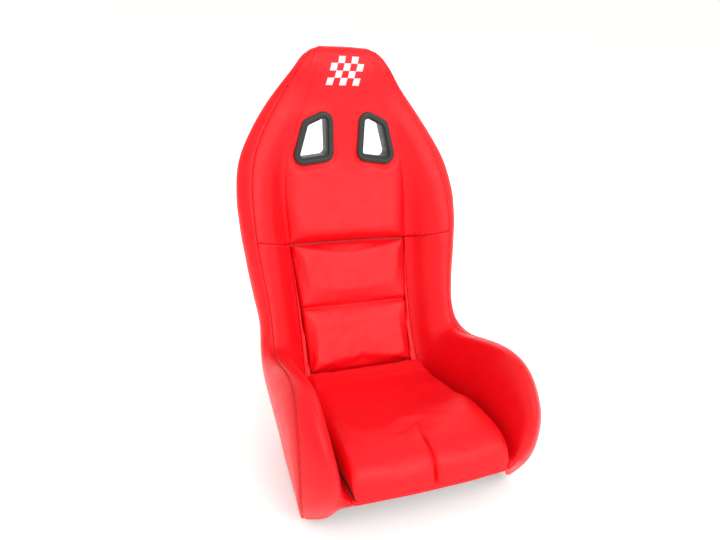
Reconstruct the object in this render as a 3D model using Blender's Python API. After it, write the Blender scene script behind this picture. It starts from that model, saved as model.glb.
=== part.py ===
"""Fixed-back bucket racing seat, fully upholstered, on two foot rails.

A one-piece laminated tub carries foam blocks and sewn vinyl covers.  A lumbar pad and a
seat cushion are held by hook-and-loop strips and pull off.  Two harness slots with
moulded bezels pass through the back.

Frame: +Z up, the seat faces -Y, +X is the left-hand side of a person sitting in it.
The origin is on the floor under the middle of the seat's bounding box.
"""
import math

import bpy
import bmesh
import numpy as np

# ---------------------------------------------------------------- driving dimensions (metres)
VINYL = 0.0016            # thickness of the sewn cover
GAP = 0.0004              # clearance between touching pieces
GLUE = 0.0020             # adhesive line between a foam block and the tub
BOLSTER_GAP = 0.0058      # space between the tub and the thick foam of the hip bolsters
BOLSTER_GAP_TAPER = 0.0020   # how much narrower that space gets at the bolsters' front end
WING_GAP = 0.0070         # space between the tub and the thick foam of the wings
LAMINATE = 0.0050         # wall of the tub
CONTOUR_ORIGIN = (0.0, 0.1254, 0.0310)   # the part's origin, in the frame of the contour below

BACK_BULGE_LOW = 0.020    # how far the upper back cushion stands out above the lumbar pad
BACK_BULGE_HIGH = 0.006   # and at the head
RECESS_DEPTH = 0.010      # depth of the lumbar recess behind the contour
PAD_FRONT = 0.014         # how far the lumbar pad stands out in front of the contour
STRIP = 0.0012            # thickness of one hook or loop strip
PAD_GAP = 0.0008          # clearance between the layers under a pad
BACKING = 0.0010          # thickness of the fabric that closes the back of a pad

SLOT_FLANGE = 0.0165      # width of a harness slot bezel
SLOT_WALL = 0.0040        # wall of its collar
SLOT_PROUD = 0.0045       # how far its flange stands out of the cover
SLOT_SEAT = 0.0045        # depth of the flange's rim behind the plane of the bezel
SLOT_CLEARANCE = 0.0008   # space between the collar and the hole it passes through

RAIL_INNER = 0.64         # rail edges, as fractions of the half width of the pan
RAIL_OUTER = 0.87
RAIL_START = 3.1          # stations at the ends of a rail
RAIL_END = 7.5
INSERT_STATIONS = (3.55, 6.0)
INSERT_HOLE = 0.0088      # clear bore of an M8 insert
INSERT_BODY = 0.0140      # its body's diameter
INSERT_FLANGE = 0.0220    # its flange's diameter and thickness
INSERT_FLANGE_DEPTH = 0.0020
INSERT_DEPTH = 0.0200

# Contour of the upholstery.  Each station is half a cross-section, from the centre line out
# over the bolster to the hem: centre, crease, wall, crest, seam, side, flank, hem.
CONTOUR = {
    "lip_under": [(0, -.204, .106), (.166, -.196, .101), (.193, -.180, .068), (.217, -.168, .050),
                  (.240, -.151, .041), (.244, -.144, .041), (.238, -.137, .040), (.225, -.130, .039)],
    "lip": [(0, -.226, .121), (.170, -.219, .120), (.198, -.212, .122), (.232, -.203, .122),
            (.256, -.175, .105), (.256, -.161, .085), (.248, -.150, .062), (.232, -.140, .043)],
    "thigh": [(0, -.206, .131), (.172, -.202, .130), (.196, -.214, .166), (.232, -.214, .191),
              (.262, -.182, .166), (.265, -.163, .138), (.255, -.140, .090), (.236, -.120, .042)],
    "pan_front": [(0, -.140, .124), (.172, -.140, .124), (.193, -.165, .190), (.228, -.184, .263),
                  (.262, -.160, .240), (.271, -.134, .208), (.262, -.105, .130), (.238, -.085, .041)],
    "pan_mid": [(0, -.050, .108), (.170, -.055, .110), (.191, -.085, .200), (.220, -.107, .304),
                (.254, -.102, .293), (.272, -.078, .252), (.262, -.045, .150), (.234, -.030, .042)],
    "pan_low": [(0, .040, .098), (.166, .030, .103), (.187, .010, .190), (.213, -.010, .287),
                (.244, -.015, .291), (.270, .000, .255), (.253, .035, .150), (.221, .045, .055)],
    "pelvis": [(0, .130, .104), (.158, .110, .112), (.182, .087, .180), (.209, .075, .258),
               (.239, .070, .266), (.263, .090, .243), (.243, .127, .165), (.206, .140, .090)],
    "hip_back": [(0, .185, .150), (.148, .168, .155), (.176, .147, .198), (.204, .142, .244),
                 (.231, .140, .253), (.252, .161, .251), (.240, .201, .212), (.207, .215, .160)],
    "lumbar": [(0, .222, .215), (.145, .212, .218), (.174, .186, .240), (.202, .175, .268),
               (.228, .172, .279), (.246, .194, .283), (.240, .232, .268), (.219, .256, .245)],
    "waist": [(0, .268, .300), (.146, .258, .302), (.176, .229, .316), (.205, .209, .335),
              (.231, .205, .342), (.252, .226, .345), (.250, .266, .334), (.233, .298, .325)],
    "midback": [(0, .315, .400), (.150, .306, .402), (.180, .273, .415), (.212, .247, .430),
                (.243, .243, .436), (.266, .264, .438), (.262, .306, .430), (.245, .345, .420)],
    "upper": [(0, .352, .500), (.155, .345, .502), (.185, .314, .512), (.216, .288, .525),
              (.248, .284, .530), (.274, .303, .532), (.270, .345, .524), (.252, .385, .515)],
    "shoulder": [(0, .384, .610), (.150, .379, .612), (.178, .361, .618), (.207, .347, .625),
                 (.235, .346, .628), (.260, .360, .628), (.257, .393, .622), (.242, .423, .616)],
    "neck": [(0, .399, .710), (.120, .397, .711), (.145, .392, .714), (.169, .390, .716),
             (.191, .394, .717), (.210, .406, .716), (.208, .429, .712), (.195, .447, .708)],
    "head": [(0, .411, .800), (.088, .411, .800), (.106, .412, .801), (.121, .414, .802),
             (.135, .418, .802), (.147, .427, .800), (.148, .443, .797), (.140, .455, .795)],
    "top": [(0, .424, .860), (.069, .420, .859), (.083, .420, .856), (.095, .420, .852),
            (.107, .422, .847), (.116, .428, .842), (.117, .441, .838), (.112, .453, .836)],
    "crown": [(0, .444, .882), (.060, .440, .881), (.072, .438, .877), (.083, .437, .873),
              (.093, .439, .866), (.101, .443, .858), (.103, .451, .851), (.099, .459, .848)],
    "nape": [(0, .468, .874), (.057, .465, .873), (.066, .463, .870), (.074, .461, .867),
             (.082, .461, .862), (.089, .463, .856), (.091, .466, .850), (.089, .469, .846)],
}
STATION = {name: index for index, name in enumerate(CONTOUR)}
FLAT = (0, .5, .88)       # guides added between the centre line and the crease
CREASE = 1
SEAM = 4
HEM = 7

# Depth of the tub's outer face behind the contour at each station from lip to crown.
TUB_DEPTH = {"lip": .0, "thigh": .018, "pan_front": .020, "pan_mid": .020, "pan_low": .020,
             "pelvis": .022, "hip_back": .026, "lumbar": .028, "waist": .030, "midback": .030,
             "upper": .032, "shoulder": .037, "neck": .043, "head": .044, "top": .036,
             "crown": .016}
TUB_SIDE_DEPTH = 0.0065   # behind the outer side covers
TUB_EDGE_DEPTH = 0.0090   # below the seam on top of the bolsters
SKIRT_FOOT = 0.020        # width of the rounded foot where the side wall turns under the pan
TUB_LIP_PAN = (0.0, 0.0120, -0.0020)       # setback of the tub's front edge inside the lip
TUB_LIP_SIDE = (-0.0065, 0.0300, 0.0080)   # and inside the front of the bolsters
TUB_EDGE = 6              # the tub's guides: centre to crease, then foot, hem, flank, side, edge

SIDE_SEAM = 10.33         # station of the sewn seam across each wing, level with the pad's top
PAD_TOP = 10.24
PAD_BOTTOM = 7.12
PAN_SINK_START = 6.0      # station where the pan cover starts to fall into the recess
PAN_END = 6.90            # station where the pan cover meets the recess cover
WING_FOAM_END = 12.0      # the wings thin out into the head above this station
FOAM_JOINT = 0.035        # half the joint between two foam blocks, in stations
COVER_START = 0.12
COVER_END = 17.0
TRIM_START = 1.7          # station where the hem trim starts
TUB_START = 1.5
TUB_END = 16.0

# Harness slots: outer corners of the front bezel as (x, z), going round from the inner top.
SLOT_CORNERS = [(.035, .750), (.109, .716), (.139, .608), (.030, .622)]
SLOT_RADIUS = 0.024
SLOT_FRONT = (.379, .620, .115)   # plane of the bezel: y at height z, and its slope dy/dz
SLOT_REAR = (.4290, .620, .165)   # plane of the tub's back at the slots


# ---------------------------------------------------------------- materials
def material(name, colour, roughness, metallic=0.0):
    """A Principled material of one colour."""
    made = bpy.data.materials.new(name)
    made.use_nodes = True
    shader = made.node_tree.nodes["Principled BSDF"]
    shader.inputs["Base Color"].default_value = (*colour, 1.0)
    shader.inputs["Roughness"].default_value = roughness
    shader.inputs["Metallic"].default_value = metallic
    made.diffuse_color = (*colour, 1.0)
    return made


# ---------------------------------------------------------------- surfaces
def spline_weights(knots, places):
    """Weights of a natural cubic spline: one row for each place, one column for each knot."""
    count = len(knots)
    step = np.diff(knots)
    left = np.zeros((count, count))
    right = np.zeros((count, count))
    left[0, 0] = left[-1, -1] = 1.0
    for i in range(1, count - 1):
        left[i, i - 1:i + 2] = step[i - 1], 2 * (step[i - 1] + step[i]), step[i]
        right[i, i - 1:i + 2] = 6 / step[i - 1], -6 / step[i - 1] - 6 / step[i], 6 / step[i]
    bend = np.linalg.solve(left, right)
    cell = np.clip(np.searchsorted(knots, places, side="right") - 1, 0, count - 2)
    width = step[cell]
    low = (knots[cell + 1] - places) / width
    high = 1.0 - low
    weights = np.zeros((len(places), count))
    rows = np.arange(len(places))
    weights[rows, cell] += low
    weights[rows, cell + 1] += high
    weights += ((low ** 3 - low) * width ** 2 / 6)[:, None] * bend[cell]
    weights += ((high ** 3 - high) * width ** 2 / 6)[:, None] * bend[cell + 1]
    return weights


def chord_knots(net):
    """Mean distance between the rows of a net, added up."""
    steps = np.linalg.norm(np.diff(net, axis=0), axis=2).mean(axis=1)
    return np.concatenate([[0.0], np.cumsum(steps)])


class Contour:
    """A surface through mirrored half cross-sections, held as a grid of flat facets.

    A place on it is a pair: s counts guides from the centre line, negative towards -X, and
    t counts stations.  Every piece reads the same facets, so touching pieces lie parallel.
    """

    def __init__(self, half_net, s_lines, t_lines):
        half = np.array(half_net, dtype=float)
        mirrored = half[:, :0:-1] * (-1.0, 1.0, 1.0)
        net = np.concatenate([mirrored, half], axis=1)
        half_marks = list(FLAT) + list(range(CREASE, half.shape[1] - len(FLAT) + CREASE))
        marks = [-mark for mark in half_marks[:0:-1]] + half_marks
        last = marks[-1]
        t_knots = chord_knots(net)
        s_knots = chord_knots(net.transpose(1, 0, 2))
        self.s_lines = np.array(sorted({-s for s in s_lines} | set(s_lines)))
        self.t_lines = np.array(t_lines, dtype=float)

        def sample(s_values, t_values):
            s_places = np.interp(s_values, marks, s_knots)
            t_places = np.interp(t_values, np.arange(len(t_knots)), t_knots)
            across = spline_weights(s_knots, s_places)
            along = spline_weights(t_knots, t_places)
            return np.einsum("vi,ijk,uj->vuk", along, net, across)

        nudge = 0.02
        inner_s = np.clip(self.s_lines, -last + nudge, last - nudge)
        inner_t = np.clip(self.t_lines, nudge, len(t_knots) - 1 - nudge)
        over_s = sample(inner_s + nudge, inner_t) - sample(inner_s - nudge, inner_t)
        over_t = sample(inner_s, inner_t + nudge) - sample(inner_s, inner_t - nudge)
        normals = np.cross(over_s, over_t)
        self.normals = normals / np.linalg.norm(normals, axis=2, keepdims=True)
        self.points = sample(self.s_lines, self.t_lines)

    def at(self, s, t, offset=0.0):
        """Points at the places (s, t), moved out along the surface's normals."""
        s, t, offset = np.broadcast_arrays(np.asarray(s, float), np.asarray(t, float), offset)
        column = np.searchsorted(self.s_lines, s, side="right") - 1
        column = np.clip(column, 0, len(self.s_lines) - 2)
        row = np.searchsorted(self.t_lines, t, side="right") - 1
        row = np.clip(row, 0, len(self.t_lines) - 2)
        a = (s - self.s_lines[column]) / (self.s_lines[column + 1] - self.s_lines[column])
        b = (t - self.t_lines[row]) / (self.t_lines[row + 1] - self.t_lines[row])
        result = 0.0
        for down, across, share in ((0, 0, (1 - a) * (1 - b)), (0, 1, a * (1 - b)),
                                    (1, 0, (1 - a) * b), (1, 1, a * b)):
            corner = self.points[row + down, column + across]
            normal = self.normals[row + down, column + across]
            result = result + share[..., None] * (corner + normal * offset[..., None])
        return result


def lines_between(lines, low, high, least=0.12):
    """The given lines that lie between two edges, and the edges themselves."""
    inner = [line for line in lines if low + least < line < high - least]
    return np.array([low] + inner + [high])


# Places of the facets' edges on the upholstery and on the tub.
S_LINES = [0, .5, .88, 1, 1.5, 2, 2.5, 3, 3.5, 4, 5, 6, 7]
TUB_LINES = [0, .5, .88, 1, 2, 2.5, 3, 4, 5, 6]
T_LINES = [0, .5, 1, 1.5, 2, 3, 4, 5, 5.5, 6, 6.5, 7, 7.5, 8, 9, 10, 11, 12, 13, 14, 14.5, 15,
           15.5, 16, 17]


def contour_net():
    """The contour in the part's own frame, with the added guides of its nearly flat middle."""
    net = []
    for points in CONTOUR.values():
        half = np.array(points, dtype=float) - CONTOUR_ORIGIN
        centre = half[0]
        crease = half[CREASE]
        middle = [centre + (crease - centre) * (share, share ** 2, share ** 2) for share in FLAT]
        net.append(np.concatenate([middle, half[CREASE:]]))
    return net


def tub_net(skin):
    """Guides of the tub's outer face, behind the upholstery."""
    net = []
    for name, depth in TUB_DEPTH.items():
        t = STATION[name]
        middle = [skin.at(s, t, -depth) for s in FLAT + (CREASE,)]
        at_lip = name == "lip"
        side_depth = 0.0 if at_lip else TUB_SIDE_DEPTH
        hem = skin.at(HEM, t, -side_depth)
        flank = skin.at(HEM - 1, t, -side_depth)
        side = skin.at(HEM - 2, t, -side_depth)
        edge = skin.at(SEAM, t, 0.0 if at_lip else -TUB_EDGE_DEPTH)
        outer = np.array([hem - (SKIRT_FOOT, 0, 0), hem, flank, side, edge])
        if at_lip:
            middle = middle + np.array(TUB_LIP_PAN)
            outer = outer + TUB_LIP_SIDE
        net.append(np.concatenate([middle, outer]))
    # The first station carries the lip's direction on, so that the surface ends straight.
    return [2 * net[0] - net[1]] + net


# ---------------------------------------------------------------- mesh helpers
def add_object(name, vertices, faces, look, smooth_angle=35):
    """A mesh object with one material."""
    mesh = bpy.data.meshes.new(name)
    mesh.from_pydata([tuple(map(float, v)) for v in vertices], [], faces)
    mesh.validate()
    mesh.materials.append(look)
    mesh.shade_smooth()
    mesh.set_sharp_from_angle(angle=math.radians(smooth_angle))
    made = bpy.data.objects.new(name, mesh)
    bpy.context.scene.collection.objects.link(made)
    return made


def body_between(name, front, back, look, mirror=False):
    """A closed body between two grids of points that have the same rows and columns."""
    if mirror:
        front = front[:, ::-1] * (-1.0, 1.0, 1.0)
        back = back[:, ::-1] * (-1.0, 1.0, 1.0)
    rows, columns = front.shape[:2]
    vertices = np.concatenate([front.reshape(-1, 3), back.reshape(-1, 3)])
    behind = rows * columns
    faces = []
    for i in range(rows - 1):
        for j in range(columns - 1):
            a = i * columns + j
            b, c, d = a + 1, a + columns + 1, a + columns
            right = front[i:i + 2, j:j + 2, 0].mean() < -1e-6
            halves = ((a, b, d), (b, c, d)) if right else ((a, b, c), (a, c, d))
            for half in halves:
                faces.append(half)
                faces.append(tuple(behind + v for v in reversed(half)))
    rim = list(range(columns))
    rim += [i * columns + columns - 1 for i in range(1, rows)]
    rim += [(rows - 1) * columns + j for j in range(columns - 2, -1, -1)]
    rim += [i * columns for i in range(rows - 2, 0, -1)]
    for here, after in zip(rim, rim[1:] + rim[:1]):
        faces.append((after, here, behind + here))
        faces.append((after, behind + here, behind + after))
    return add_object(name, vertices, faces, look)


def slab(name, surface, s_lines, t_lines, front, back, look, mirror=False):
    """A closed body between two offsets of a surface."""
    t_grid, s_grid = np.meshgrid(t_lines, s_lines, indexing="ij")
    return body_between(name, surface.at(s_grid, t_grid, front),
                        surface.at(s_grid, t_grid, back), look, mirror)


def loft_rings(name, rings, look, closed=True):
    """A body through rings of points; the last ring joins the first, or both ends are capped."""
    rings = np.array(rings)
    count, around = rings.shape[:2]
    faces = []
    for i in range(count if closed else count - 1):
        for j in range(around):
            a = i * around + j
            b = i * around + (j + 1) % around
            c = (i + 1) % count * around + (j + 1) % around
            d = (i + 1) % count * around + j
            faces.append((a, b, c))
            faces.append((a, c, d))
    if not closed:
        faces.append(tuple(reversed(range(around))))
        faces.append(tuple(range((count - 1) * around, count * around)))
    made = add_object(name, rings.reshape(-1, 3), faces, look)
    fix = bmesh.new()
    fix.from_mesh(made.data)
    bmesh.ops.recalc_face_normals(fix, faces=fix.faces)
    fix.to_mesh(made.data)
    fix.free()
    return made


def cut(target, cutter):
    """Takes a guide body out of a piece."""
    boolean = target.modifiers.new("cut_" + cutter.name, "BOOLEAN")
    boolean.operation = "DIFFERENCE"
    boolean.solver = "EXACT"
    boolean.object = cutter


def as_guide(cutter):
    """Marks a body as a cutting guide that isn't part of the seat."""
    cutter.hide_render = True
    cutter.display_type = "WIRE"
    return cutter


# ---------------------------------------------------------------- shell and base
def build_tub(tub, looks):
    """The laminated tub, an even wall over the whole of its outer face."""
    s_lines = tub.s_lines
    t_lines = lines_between(T_LINES, TUB_START, TUB_END)
    return slab("shell", tub, s_lines, t_lines, LAMINATE, 0.0, looks["laminate"])


def insert_places(tub, side):
    """Centres of a rail's two inserts on the floor plane."""
    places = []
    for t in INSERT_STATIONS:
        x, y, _ = tub.at((RAIL_INNER + RAIL_OUTER) / 2, t)
        places.append((side * x, y))
    return places


def turned(name, profile, centre, look, sides=14):
    """A body turned about a vertical axis from a closed profile of (radius, height) pairs."""
    rings = []
    for k in range(sides):
        angle = 2 * math.pi * k / sides
        rings.append([(centre[0] + r * math.cos(angle), centre[1] + r * math.sin(angle), z)
                      for r, z in profile])
    return loft_rings(name, rings, look)


def build_rail(tub, side_name, side, looks):
    """A laminated foot rail bonded under the pan, with its two threaded inserts."""
    s_lines = np.array([RAIL_INNER, RAIL_OUTER])
    t_lines = lines_between(T_LINES, RAIL_START, RAIL_END)
    t_grid, s_grid = np.meshgrid(t_lines, s_lines, indexing="ij")
    top = tub.at(s_grid, t_grid, -GLUE)
    bottom = top.copy()
    bottom[..., 2] = 0.0
    rail = body_between("base_rail_" + side_name, top, bottom, looks["rail"], mirror=side < 0)
    for end, place in zip(("front", "rear"), insert_places(tub, side)):
        hole = (INSERT_BODY / 2 + GAP, INSERT_DEPTH + GAP)
        recess = (INSERT_FLANGE / 2 + GAP, INSERT_FLANGE_DEPTH + GAP)
        profile = [(0.0, -0.01), (recess[0], -0.01), recess, (hole[0], recess[1]), hole,
                   (0.0, hole[1])]
        cutter = turned_solid("insert_hole_%s_%s" % (end, side_name), profile, place, looks["rail"])
        cut(rail, as_guide(cutter))
        bore = INSERT_HOLE / 2
        profile = [(bore, 0.0), (INSERT_FLANGE / 2, 0.0), (INSERT_FLANGE / 2, INSERT_FLANGE_DEPTH),
                   (INSERT_BODY / 2, INSERT_FLANGE_DEPTH), (INSERT_BODY / 2, INSERT_DEPTH),
                   (bore, INSERT_DEPTH)]
        turned("insert_%s_%s" % (end, side_name), profile, place, looks["steel"])
    return rail


def turned_solid(name, profile, centre, look, sides=14):
    """A solid turned body whose profile starts and ends on the axis."""
    body = profile[1:-1]
    vertices = [(centre[0], centre[1], profile[0][1]), (centre[0], centre[1], profile[-1][1])]
    for k in range(sides):
        angle = 2 * math.pi * k / sides
        vertices += [(centre[0] + r * math.cos(angle), centre[1] + r * math.sin(angle), z)
                     for r, z in body]
    faces = []
    count = len(body)
    for k in range(sides):
        here = 2 + k * count
        after = 2 + (k + 1) % sides * count
        faces.append((0, after, here))
        faces.append((1, here + count - 1, after + count - 1))
        for i in range(count - 1):
            faces.append((here + i, after + i, after + i + 1, here + i + 1))
    return add_object(name, vertices, faces, look)


# ---------------------------------------------------------------- harness slots
def rounded_outline(corners, radius, grow, steps=3):
    """A convex outline with arcs at its corners, moved out by a distance."""
    points = []
    count = len(corners)
    for i in range(count):
        before, here, after = (np.array(corners[(i + k) % count]) for k in (-1, 0, 1))
        inward = (before - here) / np.linalg.norm(before - here)
        onward = (after - here) / np.linalg.norm(after - here)
        half = math.acos(float(np.dot(inward, onward))) / 2
        middle = (inward + onward) / np.linalg.norm(inward + onward)
        centre = here + middle * radius / math.sin(half)
        away = math.atan2(-middle[1], -middle[0])
        turn = math.pi / 2 - half
        for k in range(steps + 1):
            angle = away + turn - 2 * turn * k / steps
            reach = radius + grow
            points.append(centre + reach * np.array([math.cos(angle), math.sin(angle)]))
    return points


def slot_ring(grow, depth, plane, side):
    """An outline of the slot on a plane that runs across the seat, moved back by a depth."""
    y0, z0, slope = plane
    ring = []
    for x, z in rounded_outline(SLOT_CORNERS, SLOT_RADIUS, grow):
        ring.append(np.array([side * x, y0 + slope * (z - z0) + depth, z]) - CONTOUR_ORIGIN)
    return ring


def build_slot(side_name, side, cut_soft, cut_shell, looks):
    """Two bezels that line one harness slot, and the hole they sit in."""
    opening = -SLOT_FLANGE
    collar = opening + SLOT_WALL
    hole = collar + SLOT_CLEARANCE
    wide = [slot_ring(0.0006, depth, SLOT_FRONT, side) for depth in (-0.05, SLOT_SEAT + 0.0010)]
    narrow = [slot_ring(hole, -0.05, SLOT_FRONT, side), slot_ring(hole, 0.04, SLOT_REAR, side)]
    for label, rings, targets in (("flange", wide, cut_soft),
                                  ("hole", narrow, cut_soft + cut_shell)):
        cutter = loft_rings("slot_%s_%s" % (label, side_name), rings, looks["bezel"], closed=False)
        as_guide(cutter)
        for target in targets:
            cut(target, cutter)

    front = [(opening, -0.0015, SLOT_FRONT), (opening + 0.004, -SLOT_PROUD, SLOT_FRONT),
             (-0.004, -SLOT_PROUD + 0.0008, SLOT_FRONT), (0.0, -0.001, SLOT_FRONT),
             (0.0, SLOT_SEAT, SLOT_FRONT), (collar, SLOT_SEAT, SLOT_FRONT),
             (collar, 0.0010, SLOT_REAR), (opening, 0.0010, SLOT_REAR)]
    profile = [slot_ring(grow, depth, plane, side) for grow, depth, plane in front]
    loft_rings("slot_bezel_front_" + side_name, profile, looks["bezel"])

    inside = collar + 0.0006
    rear = [(inside, 0.0016), (0.0, 0.0016), (-0.002, 0.0045), (inside + 0.002, 0.0050)]
    profile = [slot_ring(grow, depth, SLOT_REAR, side) for grow, depth in rear]
    loft_rings("slot_bezel_rear_" + side_name, profile, looks["bezel"])


# ---------------------------------------------------------------- foam and covers
def back_bulge(s, t):
    """How far the upper back cover stands in front of the contour."""
    s, t = np.broadcast_arrays(s, t)
    head = STATION["head"]
    fade = np.clip((t - PAD_TOP) / (head - 1 - PAD_TOP), 0.0, 1.0)
    height = BACK_BULGE_LOW + (BACK_BULGE_HIGH - BACK_BULGE_LOW) * (3 * fade ** 2 - 2 * fade ** 3)
    height = height * np.clip((STATION["crown"] - t) / (STATION["crown"] - head), 0.0, 1.0)
    roll = np.clip((t - SIDE_SEAM) / 0.30, 0.0, 1.0)
    low = -RECESS_DEPTH
    height = low + (height - low) * np.sqrt(1.0 - (1.0 - roll) ** 2)
    return height * (1.0 - 0.75 * np.abs(s) ** 10)


def fine_lines(lines, extra):
    """Lines with some more added, in order and without repeats."""
    return np.array(sorted(set(np.round(np.concatenate([lines, extra]), 4))))


def pan_sink(t):
    """Offset of the pan cover, which falls from the contour to the floor of the recess."""
    fade = np.clip((t - PAN_SINK_START) / (PAN_END - PAN_SINK_START), 0.0, 1.0)
    return -RECESS_DEPTH * fade


def build_centre(skin, tub, looks):
    """Covers and foam down the middle of the seat."""
    edge = 0.995
    s_lines = lines_between(list(skin.s_lines), -edge, edge, 0.05)
    back_t = fine_lines(lines_between(T_LINES, SIDE_SEAM, COVER_END, 0.2), [SIDE_SEAM + 0.06,
                                                                           SIDE_SEAM + 0.16])
    t_grid, s_grid = np.meshgrid(back_t, s_lines, indexing="ij")
    bulge = back_bulge(s_grid, t_grid)
    cover = body_between("upper_back_cover", skin.at(s_grid, t_grid, bulge),
                         skin.at(s_grid, t_grid, bulge - VINYL), looks["vinyl"])
    foam_t = back_t[back_t < STATION["top"] + 0.1]
    t_grid, s_grid = np.meshgrid(foam_t, s_lines, indexing="ij")
    bulge = back_bulge(s_grid, t_grid)
    foam = body_between("upper_back_foam", skin.at(s_grid, t_grid, bulge - VINYL - GAP),
                        tub.at(s_grid, t_grid, LAMINATE + GLUE), looks["foam"])

    recess_t = lines_between(T_LINES, PAN_END + 0.006, SIDE_SEAM - 0.006)
    slab("recess_cover", skin, s_lines, recess_t, -RECESS_DEPTH, -RECESS_DEPTH - VINYL,
         looks["vinyl"])
    t_grid, s_grid = np.meshgrid(recess_t, s_lines, indexing="ij")
    body_between("recess_foam", skin.at(s_grid, t_grid, -RECESS_DEPTH - VINYL - GAP),
                 tub.at(s_grid, t_grid, LAMINATE + GLUE), looks["foam"])

    pan_t = lines_between(T_LINES, COVER_START, PAN_END)
    sink = pan_sink(pan_t)[:, None]
    slab("pan_cover", skin, s_lines, pan_t, sink, sink - VINYL, looks["vinyl"])
    foam_t = lines_between(T_LINES, TUB_START + 0.05, PAN_END)
    t_grid, s_grid = np.meshgrid(foam_t, s_lines, indexing="ij")
    body_between("pan_foam", skin.at(s_grid, t_grid, pan_sink(t_grid) - VINYL - GAP),
                 tub.at(s_grid, t_grid, LAMINATE + GLUE), looks["foam"])
    return cover, foam


def build_sides(skin, tub, looks):
    """Bolster foams, inner and outer side covers, on both sides."""
    s_inner = lines_between(list(skin.s_lines), 1.012, SEAM - 0.02, 0.05)
    s_foam = np.array([1.08, 1.5, 2, 2.5, 3, 3.1, 3.2])
    s_outer = lines_between(list(skin.s_lines), SEAM + 0.02, HEM, 0.05)
    tub_inner = lines_between(list(tub.s_lines), 1.05, TUB_EDGE - 0.4, 0.05)
    for side_name, mirror in (("right", True), ("left", False)):
        for label, start, end, foam_start, foam_end, space in (
                ("bolster", COVER_START, SIDE_SEAM - 0.004, STATION["thigh"],
                 SIDE_SEAM - FOAM_JOINT, BOLSTER_GAP),
                ("wing", SIDE_SEAM + 0.004, COVER_END, SIDE_SEAM + FOAM_JOINT,
                 WING_FOAM_END, WING_GAP)):
            t_lines = lines_between(T_LINES, start, end)
            slab("%s_cover_%s" % (label, side_name), skin, s_inner, t_lines, 0.0, -VINYL,
                 looks["vinyl"], mirror)
            t_lines = lines_between(T_LINES, foam_start, foam_end)
            t_grid, s_grid = np.meshgrid(t_lines, s_foam, indexing="ij")
            front = skin.at(s_grid, t_grid, -VINYL - GLUE)
            t_grid, s_grid = np.meshgrid(t_lines, tub_inner, indexing="ij")
            taper = BOLSTER_GAP_TAPER * np.clip(STATION["pan_front"] - t_grid, 0.0, 1.0)
            back = tub.at(s_grid, t_grid, LAMINATE + space - taper)
            body_between("%s_foam_%s" % (label, side_name), front, back, looks["foam"], mirror)
        t_lines = lines_between(T_LINES, COVER_START, COVER_END)
        slab("outer_side_cover_" + side_name, skin, s_outer, t_lines, 0.0, -VINYL,
             looks["vinyl"], mirror)


def build_hem_trim(skin, looks):
    """A rubber bead that covers the cut edge of the vinyl all round the back of the tub."""
    top = COVER_END - 0.001
    side_path = [(HEM - 0.001, t) for t in lines_between(T_LINES, TRIM_START, top, 0.05)]
    half = side_path + [(s, top) for s in (6, 5, 4, 3, 2, 1, .5, 0)]
    path = half + [(-s, t) for s, t in reversed(half[:-1])]
    section = [(.0024, -.0030), (.0024, .0006), (.0056, .0014), (.0080, -.0010), (.0066, -.0034)]
    rings = []
    for s, t in path:
        place = skin.at(s, t)
        normal = skin.at(s, t, 1.0) - place
        sideways = place - skin.at(s - math.copysign(0.2, s), t)
        upward = place - skin.at(s, t - 0.2)
        outward = np.zeros(3)
        if abs(s) > HEM - 0.02:
            outward = outward + sideways / np.linalg.norm(sideways)
        if t > top - 0.01:
            outward = outward + upward / np.linalg.norm(upward)
        rings.append([place + outward * out + normal * up for out, up in section])
    return loft_rings("hem_trim", rings, looks["rubber"], closed=False)


# ---------------------------------------------------------------- removable pads
PAD_ACROSS = [-1, -.97, -.86, -.5, 0, .5, .86, .97, 1]
PAD_EDGE = 0.62           # share of the pads' height where their sides start to round over
CUSHION_EDGE = 0.70
STRIP_ACROSS = np.array([-.75, -.5, 0, .5, .75])
STRIP_LENGTH = 0.5        # length of a hook or loop strip in stations


def dome_profile(rim, edge, shoulder):
    """Places across a pad from -1 to 1 and the share of its height at each of them."""
    half = [(1.0, rim), (1.0, edge), (0.97, shoulder), (0.86, 1.0), (0.5, 1.0), (0.0, 1.0)]
    if rim == edge:
        half = half[1:]
    return [(-p, h) for p, h in half] + [(p, h) for p, h in reversed(half[:-1])]


def pad_grids(surface, half_width, t_low, t_high, t_lines, floor, height, rim, trim):
    """Front and floor grids of a pad: its sides rise from the floor and round over."""
    across = dome_profile(rim, PAD_EDGE, 0.90)
    lengthwise = [(0.0, rim), (0.0, PAD_EDGE), (0.02, 0.90)]
    lengthwise += [((t - t_low) / (t_high - t_low), 1.0) for t in t_lines]
    lengthwise += [(0.98, 0.90), (1.0, PAD_EDGE), (1.0, rim)]
    if rim == PAD_EDGE:
        lengthwise = lengthwise[1:-1]
    t_places = np.array([t_low + (t_high - t_low) * p for p, _ in lengthwise])
    t_places = np.clip(t_places, t_low + trim[1], t_high - trim[1])
    s_places = np.array([p for p, _ in across])
    t_grid, p_grid = np.meshgrid(t_places, s_places, indexing="ij")
    s_grid = p_grid * (half_width(t_grid) - trim[0])
    shares = np.minimum.outer([h for _, h in lengthwise], [h for _, h in across])
    front = surface.at(s_grid, t_grid, floor + shares * height(p_grid, t_grid))
    back = surface.at(s_grid, t_grid, floor)
    return front, back


def pad_width(t):
    """Half width of the lumbar pad in guides, narrower at the bottom."""
    share = (t - PAD_BOTTOM) / (PAD_TOP - PAD_BOTTOM)
    return 0.885 + (0.975 - 0.885) * share


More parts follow.
